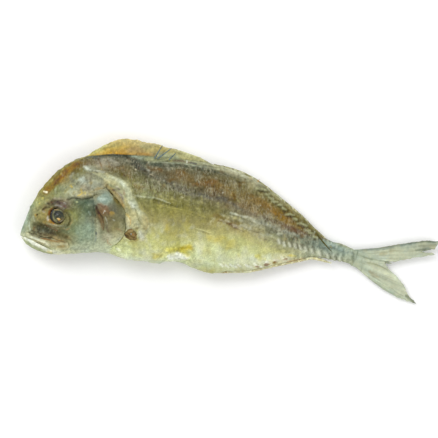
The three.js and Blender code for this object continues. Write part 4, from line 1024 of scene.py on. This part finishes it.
def body_paint(points, normals):
    """Skin of the head and the trunk, the flesh bared along the back, and the wear over all of them."""
    above = ramp(-0.4, 0.4, normals[:, 2])
    stray = drift(points, 12.0, 31, 32)
    place = points.copy()
    place[:, :2] += stray * (3.0 * (1.0 - above))[:, None]
    rgb = skin_colour(place)
    x, y = place[:, 0], place[:, 1]
    top = back_at(x)
    flesh = ramp(-0.8, 0.6, y - top) * ramp(57.0, 59.0, x) * (1.0 - ramp(184.0, 187.0, x))
    inner = across_lines(place[:, :2], FLESH_LINES)
    brush(inner, place[:, :2], FLESH_MARKS, fray(points, 37))
    rgb += (inner - rgb) * flesh[:, None]
    skin = 1.0 - flesh
    down = top - y
    trunk = ramp(88.0, 108.0, x) * skin
    brown = trunk * ramp(0.0, 8.0, down) * (1.0 - ramp(30.0, 44.0, down)) * (1.0 - ramp(270.0, 292.0, x))
    fold = 1.0 - on_fold(place)
    trunk = trunk * fold
    brown = brown * fold
    scales = streaks(points, 1.2, 3.6, 12.0, 33) + 0.7 * streaks(points, 3.4, 1.2, -6.0, 35)
    coat(rgb, 0.38 * brown * ramp(0.3, 0.9, scales), "aea78e")
    coat(rgb, 0.5 * brown * ramp(0.3, 0.9, -scales), "463319")
    coat(rgb, 0.4 * brown * flecks(points, 5.5, 38, 0.25, 0.5), "74511f")
    coat(rgb, 0.42 * brown * flecks(points, 7.5, 36, 0.2, 0.5), "8f8d78")
    olive = trunk * ramp(16.0, 30.0, down) * (1.0 - ramp(46.0, 60.0, down))
    bars = 0.7 * streaks(points, 1.5, 5.0, 4.0, 43) + 0.6 * streaks(points, 4.0, 1.3, -14.0, 44)
    coat(rgb, 0.34 * olive * ramp(0.2, 0.8, bars), "b5b078")
    coat(rgb, 0.42 * olive * ramp(0.2, 0.8, -bars), "55501f")
    seam = np.exp(-((nearness(place[:, :2], SEAM_LINE)[0] / 7.0) ** 2)) * trunk
    seam *= ramp(176.0, 196.0, x) * (1.0 - ramp(278.0, 292.0, x))
    strands = streaks(points, 7.0, 1.5, -22.0, 171) + 0.6 * mottle(points, 2.0, 172)
    coat(rgb, 0.5 * seam * ramp(0.15, 0.8, -strands), "57492c")
    coat(rgb, 0.5 * seam * (1.0 - ramp(254.0, 268.0, x)) * ramp(0.15, 0.8, strands), "cfcfb6")
    yellow = trunk * ramp(44.0, 60.0, down)
    patch = ramp(4.0, 14.0, nearness(place[:, :2], FLANK_PATCH)[0])
    yellow = yellow * patch
    tone = blotches(points, 12.0, 151, 4) + 0.4 * streaks(points, 3.0, 9.0, 14.0, 152)
    coat(rgb, 0.34 * yellow * ramp(56.0, 74.0, down) * ramp(0.05, 0.8, tone), "d9dac6")
    coat(rgb, 0.45 * yellow * ramp(0.05, 0.8, -tone), "aea45c")
    coat(rgb, 0.06 * yellow, "c9c4cc")
    coat(rgb, 0.28 * yellow * flecks(points, 9.0, 46, 0.3, 0.6), "bfb24a")
    coat(rgb, 0.28 * yellow * ramp(50.0, 66.0, down) * flecks(points, 8.0, 49, 0.25, 0.6), "dddec8")
    coat(rgb, 0.14 * yellow * flecks(points, 2.4, 47, 0.1, 0.5), "ebead6")
    head = (1.0 - ramp(84.0, 100.0, x)) * skin
    brow = ramp(3.0, 9.0, nearness(place[:, :2], FOREHEAD_STREAK)[0])
    nape = head * ramp(46.0, 54.0, y)
    coat(rgb, 0.2 * nape * brow * flecks(points, 2.8, 52, 0.2), "bcc0ae")
    coat(rgb, 0.4 * nape * flecks(points, 2.4, 55, 0.16), "5e5538")
    coat(rgb, 0.35 * nape * flecks(points, 4.0, 58, 0.15), "948240")
    cheek = head * (1.0 - nape)
    coat(rgb, 0.3 * cheek * flecks(points, 1.5, 56, 0.16), "4c5848")
    coat(rgb, 0.2 * cheek * flecks(points, 1.7, 57, 0.14), "b0baa4")
    lines = streaks(points, 2.6, 15.0, 6.0, 23) * trunk * ramp(24.0, 44.0, down)
    grain = streaks(points, 9.0, 1.7, -20.0, 34) * trunk * (1.0 - ramp(30.0, 50.0, down))
    rgb *= (1.0 + 0.13 * lines + 0.14 * grain)[:, None]
    calm = 1.0 - 0.55 * yellow
    weathered(rgb, points, 0.13 * calm, 0.19 * calm)
    band = nearness(place[:, :2], BACK_BUMPS)[0]
    coat(rgb, 0.5 * (1.0 - ramp(1.6, 4.6, band)), "50471f")
    wander = 1.0 + 0.4 * mottle(points, 3.0, 73)
    uneven = np.clip(0.8 + 0.6 * mottle(points, 2.6, 75), 0.2, 1.0)
    for n, (bump_x, bump_y) in enumerate(BACK_BUMPS):
        lean = 0.9 * np.sin(2.4 * n)
        reach = 2.0 + 0.5 * np.cos(1.7 * n)
        front = (bump_x - reach, bump_y + 0.2 + lean)
        back = (bump_x + reach, bump_y - 0.6 - 0.4 * lean)
        dash = nearness(place[:, :2], [front, back])[0]
        dark = nearness(place[:, :2], [(bump_x - 1.4, bump_y - 2.1), (bump_x + 2.6, bump_y - 2.5)])[0]
        coat(rgb, 0.55 * np.exp(-((dark / 1.0) ** 2)), "3a3014")
        coat(rgb, 0.78 * np.exp(-((dash * wander / 1.0) ** 2)) * uneven, "b4b68e")
    for scute in SCUTES:
        bar = nearness(place[:, :2], scute_ridge(*scute))[0]
        gap = nearness(place[:, :2], scute_gap(*scute))[0]
        coat(rgb, 0.62 * np.exp(-((gap * wander / 1.0) ** 2)), "4e4e3a")
        coat(rgb, 0.85 * np.exp(-((bar * wander / 1.2) ** 2)), "d8d9c4")
    stem = ramp(262.0, 286.0, x) * skin
    cross = streaks(points, 1.5, 5.0, -14.0, 74)
    coat(rgb, 0.45 * stem * ramp(0.15, 0.7, cross), "bfc6b0")
    coat(rgb, 0.36 * stem * ramp(0.15, 0.7, -cross), "4e564c")
    wet = trunk * ramp(46.0, 74.0, down) + 0.8 * head * (1.0 - ramp(6.0, 16.0, y))
    rough = 0.56 - 0.2 * wet + 0.1 * mottle(points, 3.0, 77) - 0.06 * flesh
    return rgb, rough


def plain_finish(base, marks, seed, roughness=0.5, stray=0.5, deep=0.1, fine=0.12):
    """A finish for a small piece: one colour, marks over it and weathering."""

    def finish(points, normals):
        place = points[:, :2] + stray * drift(points, 5.0, seed, seed + 2)
        rgb = np.tile(colour(base), (len(points), 1))
        brush(rgb, place, marks, fray(points, seed + 6))
        weathered(rgb, points, deep, fine, seed)
        return rgb, roughness + 0.1 * mottle(points, 2.5, seed + 4)

    return finish


STUMP_MARKS = [
    ("2c1a10", 0.95, 3.0, 0.7, [(101, 14.4), (104.4, 12.4)]),
    ("8c6c40", 0.8, 3.0, 0.8, [(104, 20), (109, 20.4)]),
    ("a08c62", 0.6, 1.4, 0.9, [(103, 17.6), (107, 18.4), (111, 18.6)]),
    ("a4542c", 0.8, 1.4, 0.8, [(108.6, 15.4), (109.4, 14.6)]),
    ("9aa8b0", 0.9, 1.1, 0.7, [(106.8, 15.8), (107.2, 15.2)]),
    ("4a3420", 0.7, 1.4, 0.9, [(104.6, 16), (108, 12.6), (110.6, 12)]),
    ("6c5a3a", 0.7, 3.4, 0.9, [(110, 17), (111.6, 14)]),
    ("5a3a22", 0.8, 1.2, 0.8, [(112.6, 19.6), (112, 15), (109.4, 11.4)]),
]

EYE_MARKS = [
    ("2c1b14", 0.95, 4.0, 0.5, [(35.4, 40.6), (31.4, 37.4), (29.8, 32), (31, 27.6), (34, 25.2)]),
    ("2e2019", 0.9, 1.5, 0.6, [(32, 40), (37, 41), (42.4, 39)]),
    ("8f8c6a", 0.85, 1.0, 0.8, [(36.3, 38.1), (39.8, 37.7), (43.2, 35), (45.2, 31.5)]),
    ("7c7a58", 0.8, 1.5, 0.8, [(33.4, 38), (32, 33.6), (32.8, 30)]),
    ("8f8a66", 0.8, 1.6, 0.8, [(32.4, 31), (34, 28.8), (36, 28.6)]),
    ("a98c5c", 0.8, 1.1, 0.8, [(33.6, 38.6), (37.4, 38.6)]),
    ("2e3028", 0.85, 4.6, 0.7, [(34.4, 34.8), (38.2, 35.6), (41, 32.4)]),
    ("4c4a34", 0.8, 1.6, 0.8, [(37, 36), (40.6, 33), (42.4, 30.6)]),
    ("6a5a3e", 0.8, 2.6, 0.8, [(40.6, 31), (42, 28.6), (40, 27.4)]),
    # painted highlight on the lens
    ("e2bd7c", 0.95, 1.7, 0.6, [(36.2, 30.2), (38.6, 29.4)]),
    ("b98a44", 0.8, 1.2, 0.8, [(37.4, 28.6), (39.2, 29.2)]),
    ("3c2410", 0.85, 1.6, 0.8, [(36.4, 27.4), (40, 25.6), (43, 26)]),
    ("8a5010", 0.8, 1.2, 0.8, [(39.6, 25.2), (42, 25.6)]),
    ("20261c", 0.9, 1.3, 0.7, [(44.6, 30), (44.4, 29.2)]),
    ("2a1a12", 0.9, 2.3, 0.5, [(31.6, 39.2), (29.6, 35), (29.4, 31), (30.8, 27.6)]),
]


def cover_paint(points, normals):
    """The cheek's skin in front, and the bare bone of the gill cover behind it, with painted shade in the crease at
    its front edge.
    """
    rgb = across_lines(points[:, :2], HEAD_LINES)
    inner = rgb.copy()
    place = points[:, :2] + 0.4 * drift(points, 5.0, 45, 47)
    brush(inner, place, COVER_MARKS, fray(points, 48))
    rgb += (inner - rgb) * ramp(69.0, 74.0, points[:, 0])[:, None]
    coat(rgb, 0.3 * flecks(points, 1.5, 56, 0.16), "565a44")
    weathered(rgb, points, 0.1, 0.12, 46)
    return rgb, 0.5 + 0.1 * mottle(points, 2.5, 49)


def eye_paint(points, normals):
    """Rings of a shrunken eye with its marks, among them a painted highlight on the lens, shinier towards the
    middle.
    """
    out = np.hypot(*(points[:, :2] - EYE_PLACE).T) + 0.5 * blotches(points, 4.0, 81, 2)
    rgb = np.tile(colour("6a6140"), (len(points), 1))
    for reach, soft, shade in ((7.6, 1.0, "5b5434"), (6.4, 1.2, "6c6846"), (5.2, 1.0, "45442e")):
        coat(rgb, 1.0 - ramp(reach - soft / 2, reach + soft / 2, out), shade)
    frayed = fray(points, 82)
    brush(rgb, points[:, :2], EYE_MARKS, (0.4 * frayed[0], 0.4 * frayed[1]))
    weathered(rgb, points, 0.1, 0.08, 84)
    return rgb, 0.26 + 0.3 * ramp(5.6, 7.4, out)


TAIL_MARKS = [
    ("aab5a2", 0.6, 13, 0.8, [(318, -5), (330, -6), (338, -8)]),
    ("c2c6ae", 0.8, 10, 0.9, [(345, -3), (365, -1), (380, 0)]),
    ("7f8a84", 0.8, 3.0, 0.8, [(322, 0), (340, 0.6), (362, 4), (380, 7)]),
    ("5f675c", 0.9, 3.0, 0.8, [(372, 7), (390, 8.6), (401, 8)]),
    ("8c8a74", 0.5, 3.4, 0.9, [(384, 3.6), (400, 4.6)]),
    ("a79f7c", 0.6, 4.0, 0.9, [(346, -4), (352, -3)]),
    ("9aa28c", 0.6, 2.0, 0.9, [(319, -2), (336, -8.6), (357, -12.4)]),
    ("aaa98c", 0.6, 2.2, 0.9, [(334, -12.4), (353, -19)]),
    ("aeb8a4", 0.7, 5.0, 0.9, [(326, -12), (342, -28), (360, -43)]),
    ("c8cbb2", 0.7, 5.0, 0.9, [(350, -20), (364, -32), (374, -44)]),
    ("ab9c78", 0.6, 4.0, 0.9, [(336, -21), (344, -26)]),
    ("98a08a", 0.6, 2.0, 0.9, [(334, -26), (350, -38), (370, -48)]),
    ("6f7460", 0.85, 3.4, 0.9, [(371, -45), (378, -49.6), (384, -54)]),
    ("8a9284", 0.35, 5.0, 0.9, [(356, 0.6), (378, 3.6), (402, 6)]),
    ("6f7768", 0.75, 2.4, 0.9, [(380, -0.6), (392, 1), (401, -3)]),
    # painted shade under the fin's folded edges
    ("7c8270", 0.75, 1.1, 0.9, [(318, -3), (336, -8.6), (346, -10), (357, -12.4)]),
    ("858a74", 0.7, 1.1, 0.9, [(332, -11.6), (342, -14), (353, -19)]),
    ("8f9480", 0.6, 1.0, 0.9, [(338, -24), (354, -35), (368, -45)]),
    ("ccd1bc", 0.5, 1.6, 0.9, [(352, -14), (362, -28), (372, -42)]),
    ("8f9484", 0.6, 1.6, 0.8, [(345, 2), (362, 4.8), (379, 7.4), (393, 9)]),
]


def tail_paint(points, normals):
    """Pale membrane with darker rays and painted shade under its folds, and the body's skin drawn over the root."""
    ridge, out = rays(points)
    x = points[:, 0]
    rgb = np.tile(colour("b9bea9"), (len(points), 1))
    place = points[:, :2] + 0.8 * drift(points, 7.0, 91, 92)
    brush(rgb, place, TAIL_MARKS, fray(points, 99))
    rgb *= (1.0 + 0.36 * ridge * ramp(20.0, 34.0, out))[:, None]
    coat(rgb, 0.5 * (1.0 - ramp(320.0, 334.0, x)), "a9b29c")
    cross = streaks(points, 1.5, 5.0, -14.0, 74) * (1.0 - ramp(322.0, 338.0, x))
    coat(rgb, 0.5 * ramp(0.1, 0.7, cross), "bcc2ac")
    coat(rgb, 0.5 * ramp(0.1, 0.7, -cross), "5a6256")
    coat(rgb, 0.3 * flecks(points, 9.0, 94, 0.2, 0.6), "a39a76")
    coat(rgb, 0.25 * flecks(points, 8.0, 96, 0.2, 0.6), "c9ceb8")
    weathered(rgb, points, 0.07, 0.05, 93)
    return rgb, 0.56 + 0.1 * mottle(points, 3.0, 98)


def edge_fin_paint(low, high, dots, seed):
    """A fin folded flat along an edge of the body: pale rays with dark membrane between them."""

    def finish(points, normals):
        rgb = np.tile(colour(low), (len(points), 1))
        beads = streaks(points, 1.6, 30.0, 0.0, seed)
        coat(rgb, 0.8 * ramp(-0.1, 0.5, beads), high)
        coat(rgb, 0.7 * flecks(points, 2.2, seed + 2, 0.14), dots)
        weathered(rgb, points, 0.12, 0.14, seed)
        return rgb, np.full(len(points), 0.55)

    return finish


def wire(material, node, inputs):
    """Gives a shader node's inputs their values, or links them to other nodes' outputs."""
    for socket, value in inputs.items():
        if isinstance(value, bpy.types.NodeSocket):
            material.node_tree.links.new(value, node.inputs[socket])
        else:
            node.inputs[socket].default_value = value
    return node


def stored(material, attribute):
    """A node that reads what is stored under this name on the points of a piece."""
    node = material.node_tree.nodes.new("ShaderNodeAttribute")
    node.attribute_name = attribute
    return node


def wisps(material, place, tone, turn, stretch, low, high, cover, code):
    """Fine strokes of one colour, drawn out across the fish, laid over a tone where the piece is wispy."""
    nodes = material.node_tree.nodes
    drawn = wire(material, nodes.new("ShaderNodeMapping"), {
        "Rotation": (0.0, 0.0, turn), "Scale": stretch, "Vector": place.outputs["Object"]})
    strokes = wire(material, nodes.new("ShaderNodeTexNoise"), {
        "Scale": 1.0, "Detail": 2.0, "Distortion": 0.7, "Vector": drawn.outputs["Vector"]})
    sharp = wire(material, nodes.new("ShaderNodeMapRange"), {
        "From Min": low, "From Max": high, "To Max": cover, "Value": strokes.outputs["Fac"]})
    share = nodes.new("ShaderNodeMath")
    share.operation = "MULTIPLY"
    wire(material, share, {0: sharp.outputs["Result"], 1: stored(material, "wispy").outputs["Fac"]})
    mix = nodes.new("ShaderNodeMix")
    mix.data_type = "RGBA"
    wire(material, mix, {"Factor": share.outputs["Value"], 6: tone, 7: (*colour(code), 1.0)})
    return mix.outputs[2]


# Strokes on the skin: turn in radians, strokes in a metre each way, the noise where they start and where they
# are full, their cover and their colour.
SKIN_WISPS = [
    (0.15, (700.0, 230.0, 230.0), 0.48, 0.36, 0.6, "453016"),
    (-0.2, (900.0, 250.0, 250.0), 0.53, 0.66, 0.75, "9c9a80"),
    (0.9, (1000.0, 330.0, 330.0), 0.56, 0.7, 0.6, "a8a488"),
]


def dried_material(name, pore=0.55, bump=0.5, coat_weight=0.0, flesh=0.0, speck=0.22, wispy=False):
    """Finish that takes its colour and roughness from the paint on a piece, with fine pores and wrinkles added."""
    material = bpy.data.materials.new(name)
    material.use_nodes = True
    nodes = material.node_tree.nodes
    place = nodes.new("ShaderNodeTexCoord")
    tint = stored(material, "paint")
    specks = wire(material, nodes.new("ShaderNodeTexNoise"), {
        "Scale": 950.0, "Detail": 3.0, "Roughness": 0.65, "Vector": place.outputs["Object"]})
    spread = wire(material, nodes.new("ShaderNodeMapRange"), {
        "From Min": 0.3, "From Max": 0.7, "To Min": 1.0 - speck, "To Max": 1.0 + speck,
        "Value": specks.outputs["Fac"]})
    shade = nodes.new("ShaderNodeVectorMath")
    shade.operation = "SCALE"
    wire(material, shade, {0: tint.outputs["Color"], "Scale": spread.outputs["Result"]})
    tone = shade.outputs["Vector"]
    for stroke in SKIN_WISPS if wispy else []:
        tone = wisps(material, place, tone, *stroke)
    uneven = nodes.new("ShaderNodeMath")
    uneven.operation = "MULTIPLY_ADD"
    wire(material, uneven, {0: specks.outputs["Fac"], 1: 0.22, 2: tint.outputs["Alpha"]})
    wrinkles = wire(material, nodes.new("ShaderNodeTexNoise"), {
        "Scale": 420.0, "Detail": 4.0, "Distortion": 0.6, "Vector": place.outputs["Object"]})
    coarse = wire(material, nodes.new("ShaderNodeBump"), {
        "Strength": bump, "Distance": 0.0006, "Height": wrinkles.outputs["Fac"]})
    pores = wire(material, nodes.new("ShaderNodeTexVoronoi"), {
        "Scale": 1100.0, "Vector": place.outputs["Object"]})
    fine = wire(material, nodes.new("ShaderNodeBump"), {
        "Strength": pore, "Distance": 0.00018, "Height": pores.outputs["Distance"],
        "Normal": coarse.outputs["Normal"]})
    wire(material, nodes["Principled BSDF"], {
        "Base Color": tone,
        "Roughness": uneven.outputs["Value"],
        "Normal": fine.outputs["Normal"],
        "Specular IOR Level": 0.3,
        "Coat Weight": coat_weight,
        "Coat Roughness": 0.25,
        "Subsurface Weight": flesh,
        "Subsurface Radius": (1.0, 0.6, 0.3),
        "Subsurface Scale": 0.0015,
    })
    return material


SKIN = dried_material("dried_silvery_skin", coat_weight=0.04, wispy=True)
BONE = dried_material("dried_head_bone", pore=0.5, bump=0.4, coat_weight=0.04, speck=0.16)
EYE = dried_material("shrunken_eye", pore=0.2, bump=0.35, coat_weight=0.5, speck=0.14)
FIN = dried_material("dried_fin_ray", pore=0.2, bump=0.3, flesh=0.12, speck=0.07)
SPINE = dried_material("dried_back_spine", pore=0.2, bump=0.3, speck=0.12)


def finished(piece, node, material):
    """Rests a painted piece on the table and hands it over as the looks of a CAD node."""
    settle(piece)
    piece.data.materials.append(material)
    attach(piece, "root")
    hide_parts(node)


def wispiness(points):
    """How strongly each place of the skin is covered with fine dry strokes: most on the brown of the back."""
    x, y = points[:, 0], points[:, 1]
    down = back_at(x) - y
    trunk = ramp(90.0, 112.0, x)
    brown = trunk * ramp(1.0, 6.0, down) * (1.0 - ramp(26.0, 42.0, down)) * (1.0 - ramp(272.0, 300.0, x))
    olive = trunk * ramp(20.0, 32.0, down) * (1.0 - ramp(48.0, 64.0, down))
    nape = (1.0 - trunk) * ramp(60.0, 74.0, y)
    clumps = np.clip(0.45 + 0.9 * blotches(points, 9.0, 141, 3), 0.0, 1.0)
    amount = 0.8 * brown * clumps + 0.22 * olive * clumps + 0.45 * nape * clumps + 0.08
    return np.clip(amount * (1.0 - on_fold(points)), 0.0, 1.0)


# Width of the facets of each piece, in millimetres.
GRAIN = {
    "body": 0.93, "gill_cover": 0.42, "upper_jaw": 0.38, "eye": 0.27, "fin_stump": 0.3, "lower_jaw": 0.42,
    "tail_fin": 0.36, "edge_fin": 0.36, "spine": 0.17,
}

body = remade("fish_body", "body", GRAIN["body"], 2)
sculpt(body, body_height)
paint(body, body_paint)
body.data.attributes.new("wispy", "FLOAT", "POINT").data.foreach_set(
    "value", wispiness(read_points(body.data)).astype(np.float32))
finished(body, "body", SKIN)

for side, up in (("left", 1), ("right", -1)):
    cover = remade(side + "_gill_cover_bone", side + "_gill_cover", GRAIN["gill_cover"], 2)
    sculpt(cover, cover_height, up)
    widen(cover, lambda p: 2.0 * (1.0 - ramp(77.0, 82.0, p[:, 0])) + 0.1)
    paint(cover, cover_paint)
    finished(cover, side + "_gill_cover", BONE)

    jaw = remade(side + "_upper_jaw_bone", side + "_upper_jaw", GRAIN["upper_jaw"], 2)
    sculpt(jaw, lambda p, n: 0.9 * flaw(p, 51) + 0.35 * streaks(p, 12.0, 1.8, -18.0, 53), up)
    widen(jaw, lambda p: np.full(len(p), 0.45))
    paint(jaw, plain_finish("b0ab86", JAW_MARKS, 54, roughness=0.46))
    finished(jaw, side + "_upper_jaw", BONE)

    eye = remade(side + "_eye_ball", side + "_eye", GRAIN["eye"], 3)
    sculpt(eye, eye_height, up)
    paint(eye, eye_paint)
    finished(eye, side + "_eye", EYE)

    stump = remade(side + "_fin_stump", side + "_pectoral_fin_stump", GRAIN["fin_stump"], 2)
    sculpt(stump, lambda p, n: 0.5 * blotches(p, 3.0, 57, 2) + 0.45 * streaks(p, 6.0, 1.0, 20.0, 58), up)
    widen(stump, lambda p: 0.7 + 1.5 * blotches(p, 6.0, 60, 2))
    paint(stump, plain_finish("85714a", STUMP_MARKS, 59, stray=0.3, deep=0.16, fine=0.16))
    finished(stump, side + "_pectoral_fin_stump", BONE)

lower_jaw = remade("lower_jaw_bone", "lower_jaw", GRAIN["lower_jaw"], 2)
sculpt(lower_jaw, lambda p, n: 0.9 * flaw(p, 65) + 0.3 * streaks(p, 12.0, 1.8, -25.0, 66))
widen(lower_jaw, lambda p: np.full(len(p), 0.35))
paint(lower_jaw, plain_finish("a6ac84", LOWER_JAW_MARKS, 67))
finished(lower_jaw, "lower_jaw", BONE)

tail = remade("tail_fin_membrane", "tail_fin", GRAIN["tail_fin"], 2)
sculpt(tail, tail_height)
write_points(tail.data, root_swell(read_points(tail.data)))
widen(tail, lambda p: 0.7 * blotches(p, 3.0, 68, 2) * ramp(345.0, 365.0, p[:, 0]))
paint(tail, tail_paint)
finished(tail, "tail_fin", FIN)

for node, low, high, dots, seed in (("soft_back_fin", "9c9670", "d0cfb4", "6e6638", 101),
                                    ("anal_fin", "c9c29a", "e0ddbd", "94703e", 111)):
    fin = remade(node + "_rays", node, GRAIN["edge_fin"], 1)
    sculpt(fin, lambda p, n: 0.35 * streaks(p, 1.6, 30.0, 0.0, seed) + 0.2 * blotches(p, 3.0, seed + 1, 2))
    paint(fin, edge_fin_paint(low, high, dots, seed))
    finished(fin, node, FIN)

for node in sorted(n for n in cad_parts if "spine" in n):
    spine = remade(node + "_thorn", node, GRAIN["spine"], 1)
    sculpt(spine, lambda p, n: 0.1 * blotches(p, 1.5, 120, 2))
    paint(spine, plain_finish("6c7674", [], 121, roughness=0.4, stray=0.2, deep=0.25, fine=0.2))
    finished(spine, node, SPINE)


def rod(name, node, path, radii, shade, material):
    """A bristle or ray along a path in fish millimetres, drawn out of a small circle."""
    work = bmesh.new()
    stations = [(Vector(place) - Vector(SNOUT)) / MM for place in path]
    turn = (stations[1] - stations[0]).to_track_quat("Z", "Y").to_matrix().to_4x4()
    first = bmesh.ops.create_circle(work, cap_ends=True, segments=8, radius=radii[0] / MM, matrix=turn)
    bmesh.ops.translate(work, verts=first["verts"], vec=stations[0])
    end = [work.faces[:][0]]
    for n in range(1, len(stations)):
        grown = bmesh.ops.extrude_face_region(work, geom=end)
        if n > 1:  # the face that was drawn out would stay inside the rod
            bmesh.ops.delete(work, geom=end, context="FACES_ONLY")
        verts = [part for part in grown["geom"] if isinstance(part, bmesh.types.BMVert)]
        bmesh.ops.translate(work, verts=verts, vec=stations[n] - stations[n - 1])
        share = radii[n] / radii[n - 1]
        middle = sum((v.co for v in verts), Vector()) / len(verts)
        for v in verts:
            v.co = middle + (v.co - middle) * share
        end = [part for part in grown["geom"] if isinstance(part, bmesh.types.BMFace)]
    bmesh.ops.recalc_face_normals(work, faces=work.faces)
    mesh = bpy.data.meshes.new(name)
    work.to_mesh(mesh)
    work.free()
    piece = smooth_piece(name, mesh)
    paint(piece, plain_finish(shade, [], 131, roughness=0.45, stray=0.2, deep=0.2, fine=0.15))
    finished(piece, node, material)


skin = BVHTree.FromObject(body, bpy.context.evaluated_depsgraph_get())
HIGH_ABOVE = 80.0
BESIDE_SKIN = 6.0


def on_skin(x, y, above):
    """The place that lies this far above the upper skin, or above BESIDE_SKIN where no skin lies below it."""
    place = (np.array([x, y, HIGH_ABOVE]) - SNOUT) / MM
    hit = skin.ray_cast(Vector(place), Vector((0.0, 0.0, -1.0)))[0]
    height = hit.z * MM if hit is not None else BESIDE_SKIN
    return (x, y, height + above)


RAY_PATH = [on_skin(*at) for at in (
    (277, 26.6, 0.2), (281.9, 20.4, 0.5), (286, 14.4, 0.7), (290, 8.8, 0.9), (294.6, 3.4, 1.0), (299.4, -1.6, 0.7))]
BARB_PATH = [(227.6, 64.6, 15.0), (228.8, 66.4, 15.6), (229.8, 68.0, 16.0)]
SPUR_PATH = [(346.0, -10.6, 4.6), (350.6, -11.6, 4.8), (354.0, -12.6, 4.6), (357.2, -12.8, 4.4)]

rod("loose_back_ray", "soft_back_fin", RAY_PATH, (0.5, 0.75, 0.75, 0.65, 0.5, 0.2), "5f5a34", FIN)
rod("back_barb", "soft_back_fin", BARB_PATH, (0.7, 0.5, 0.15), "cfa878", FIN)
rod("tail_spur", "tail_fin", SPUR_PATH, (1.4, 1.1, 0.8, 0.2), "a8ae98", FIN)

# Pale table, soft studio light and a long lens that looks straight down; all sizes in metres.
TABLE_REACH = 3.0
TABLE_DROP = 0.0005
PALE = (0.96, 0.96, 0.96, 1.0)
STUDIO_STRENGTH = 0.74
LENS, SENSOR = 600.0, 36.0
VIEW_WIDTH = 0.4205
VIEW_HEIGHT = 0.015

work = bmesh.new()
bmesh.ops.create_grid(work, x_segments=1, y_segments=1, size=TABLE_REACH)
table_mesh = bpy.data.meshes.new("pale_table")
work.to_mesh(table_mesh)
work.free()
floor = placed("pale_table", table_mesh)
floor.location.z = -TABLE_DROP
pale = bpy.data.materials.new("pale_table")
pale.use_nodes = True
wire(pale, pale.node_tree.nodes["Principled BSDF"], {
    "Base Color": PALE, "Roughness": 1.0, "Specular IOR Level": 0.0})
table_mesh.materials.append(pale)

scene = bpy.context.scene
scene.view_settings.view_transform = "Standard"
world = bpy.data.worlds.new("studio")
scene.world = world
world.use_nodes = True
wire(world, world.node_tree.nodes["Background"], {"Color": (1.0, 1.0, 1.0, 1.0), "Strength": STUDIO_STRENGTH})


def soft_light(name, place, aim, size, power):
    """A square lamp at a place, turned to its aim."""
    lamp = bpy.data.lights.new(name, "AREA")
    lamp.shape = "SQUARE"
    lamp.size = size
    lamp.energy = power
    holder = placed(name, lamp)
    holder.location = place
    holder.rotation_euler = (Vector(aim) - Vector(place)).to_track_quat("-Z", "Y").to_euler()


soft_light("key_light", (-0.7, 0.9, 1.3), (0.0, 0.0, 0.02), 1.1, 15.0)
soft_light("fill_light", (0.9, -0.6, 1.4), (0.0, 0.0, 0.02), 1.0, 5.0)

lens = bpy.data.cameras.new("straight_down")
lens.lens = LENS
lens.sensor_width = SENSOR
lens.clip_end = 20.0
camera = placed("straight_down", lens)
camera.location = (-0.00976, 0.00234, VIEW_HEIGHT + VIEW_WIDTH * LENS / SENSOR)
scene.camera = camera
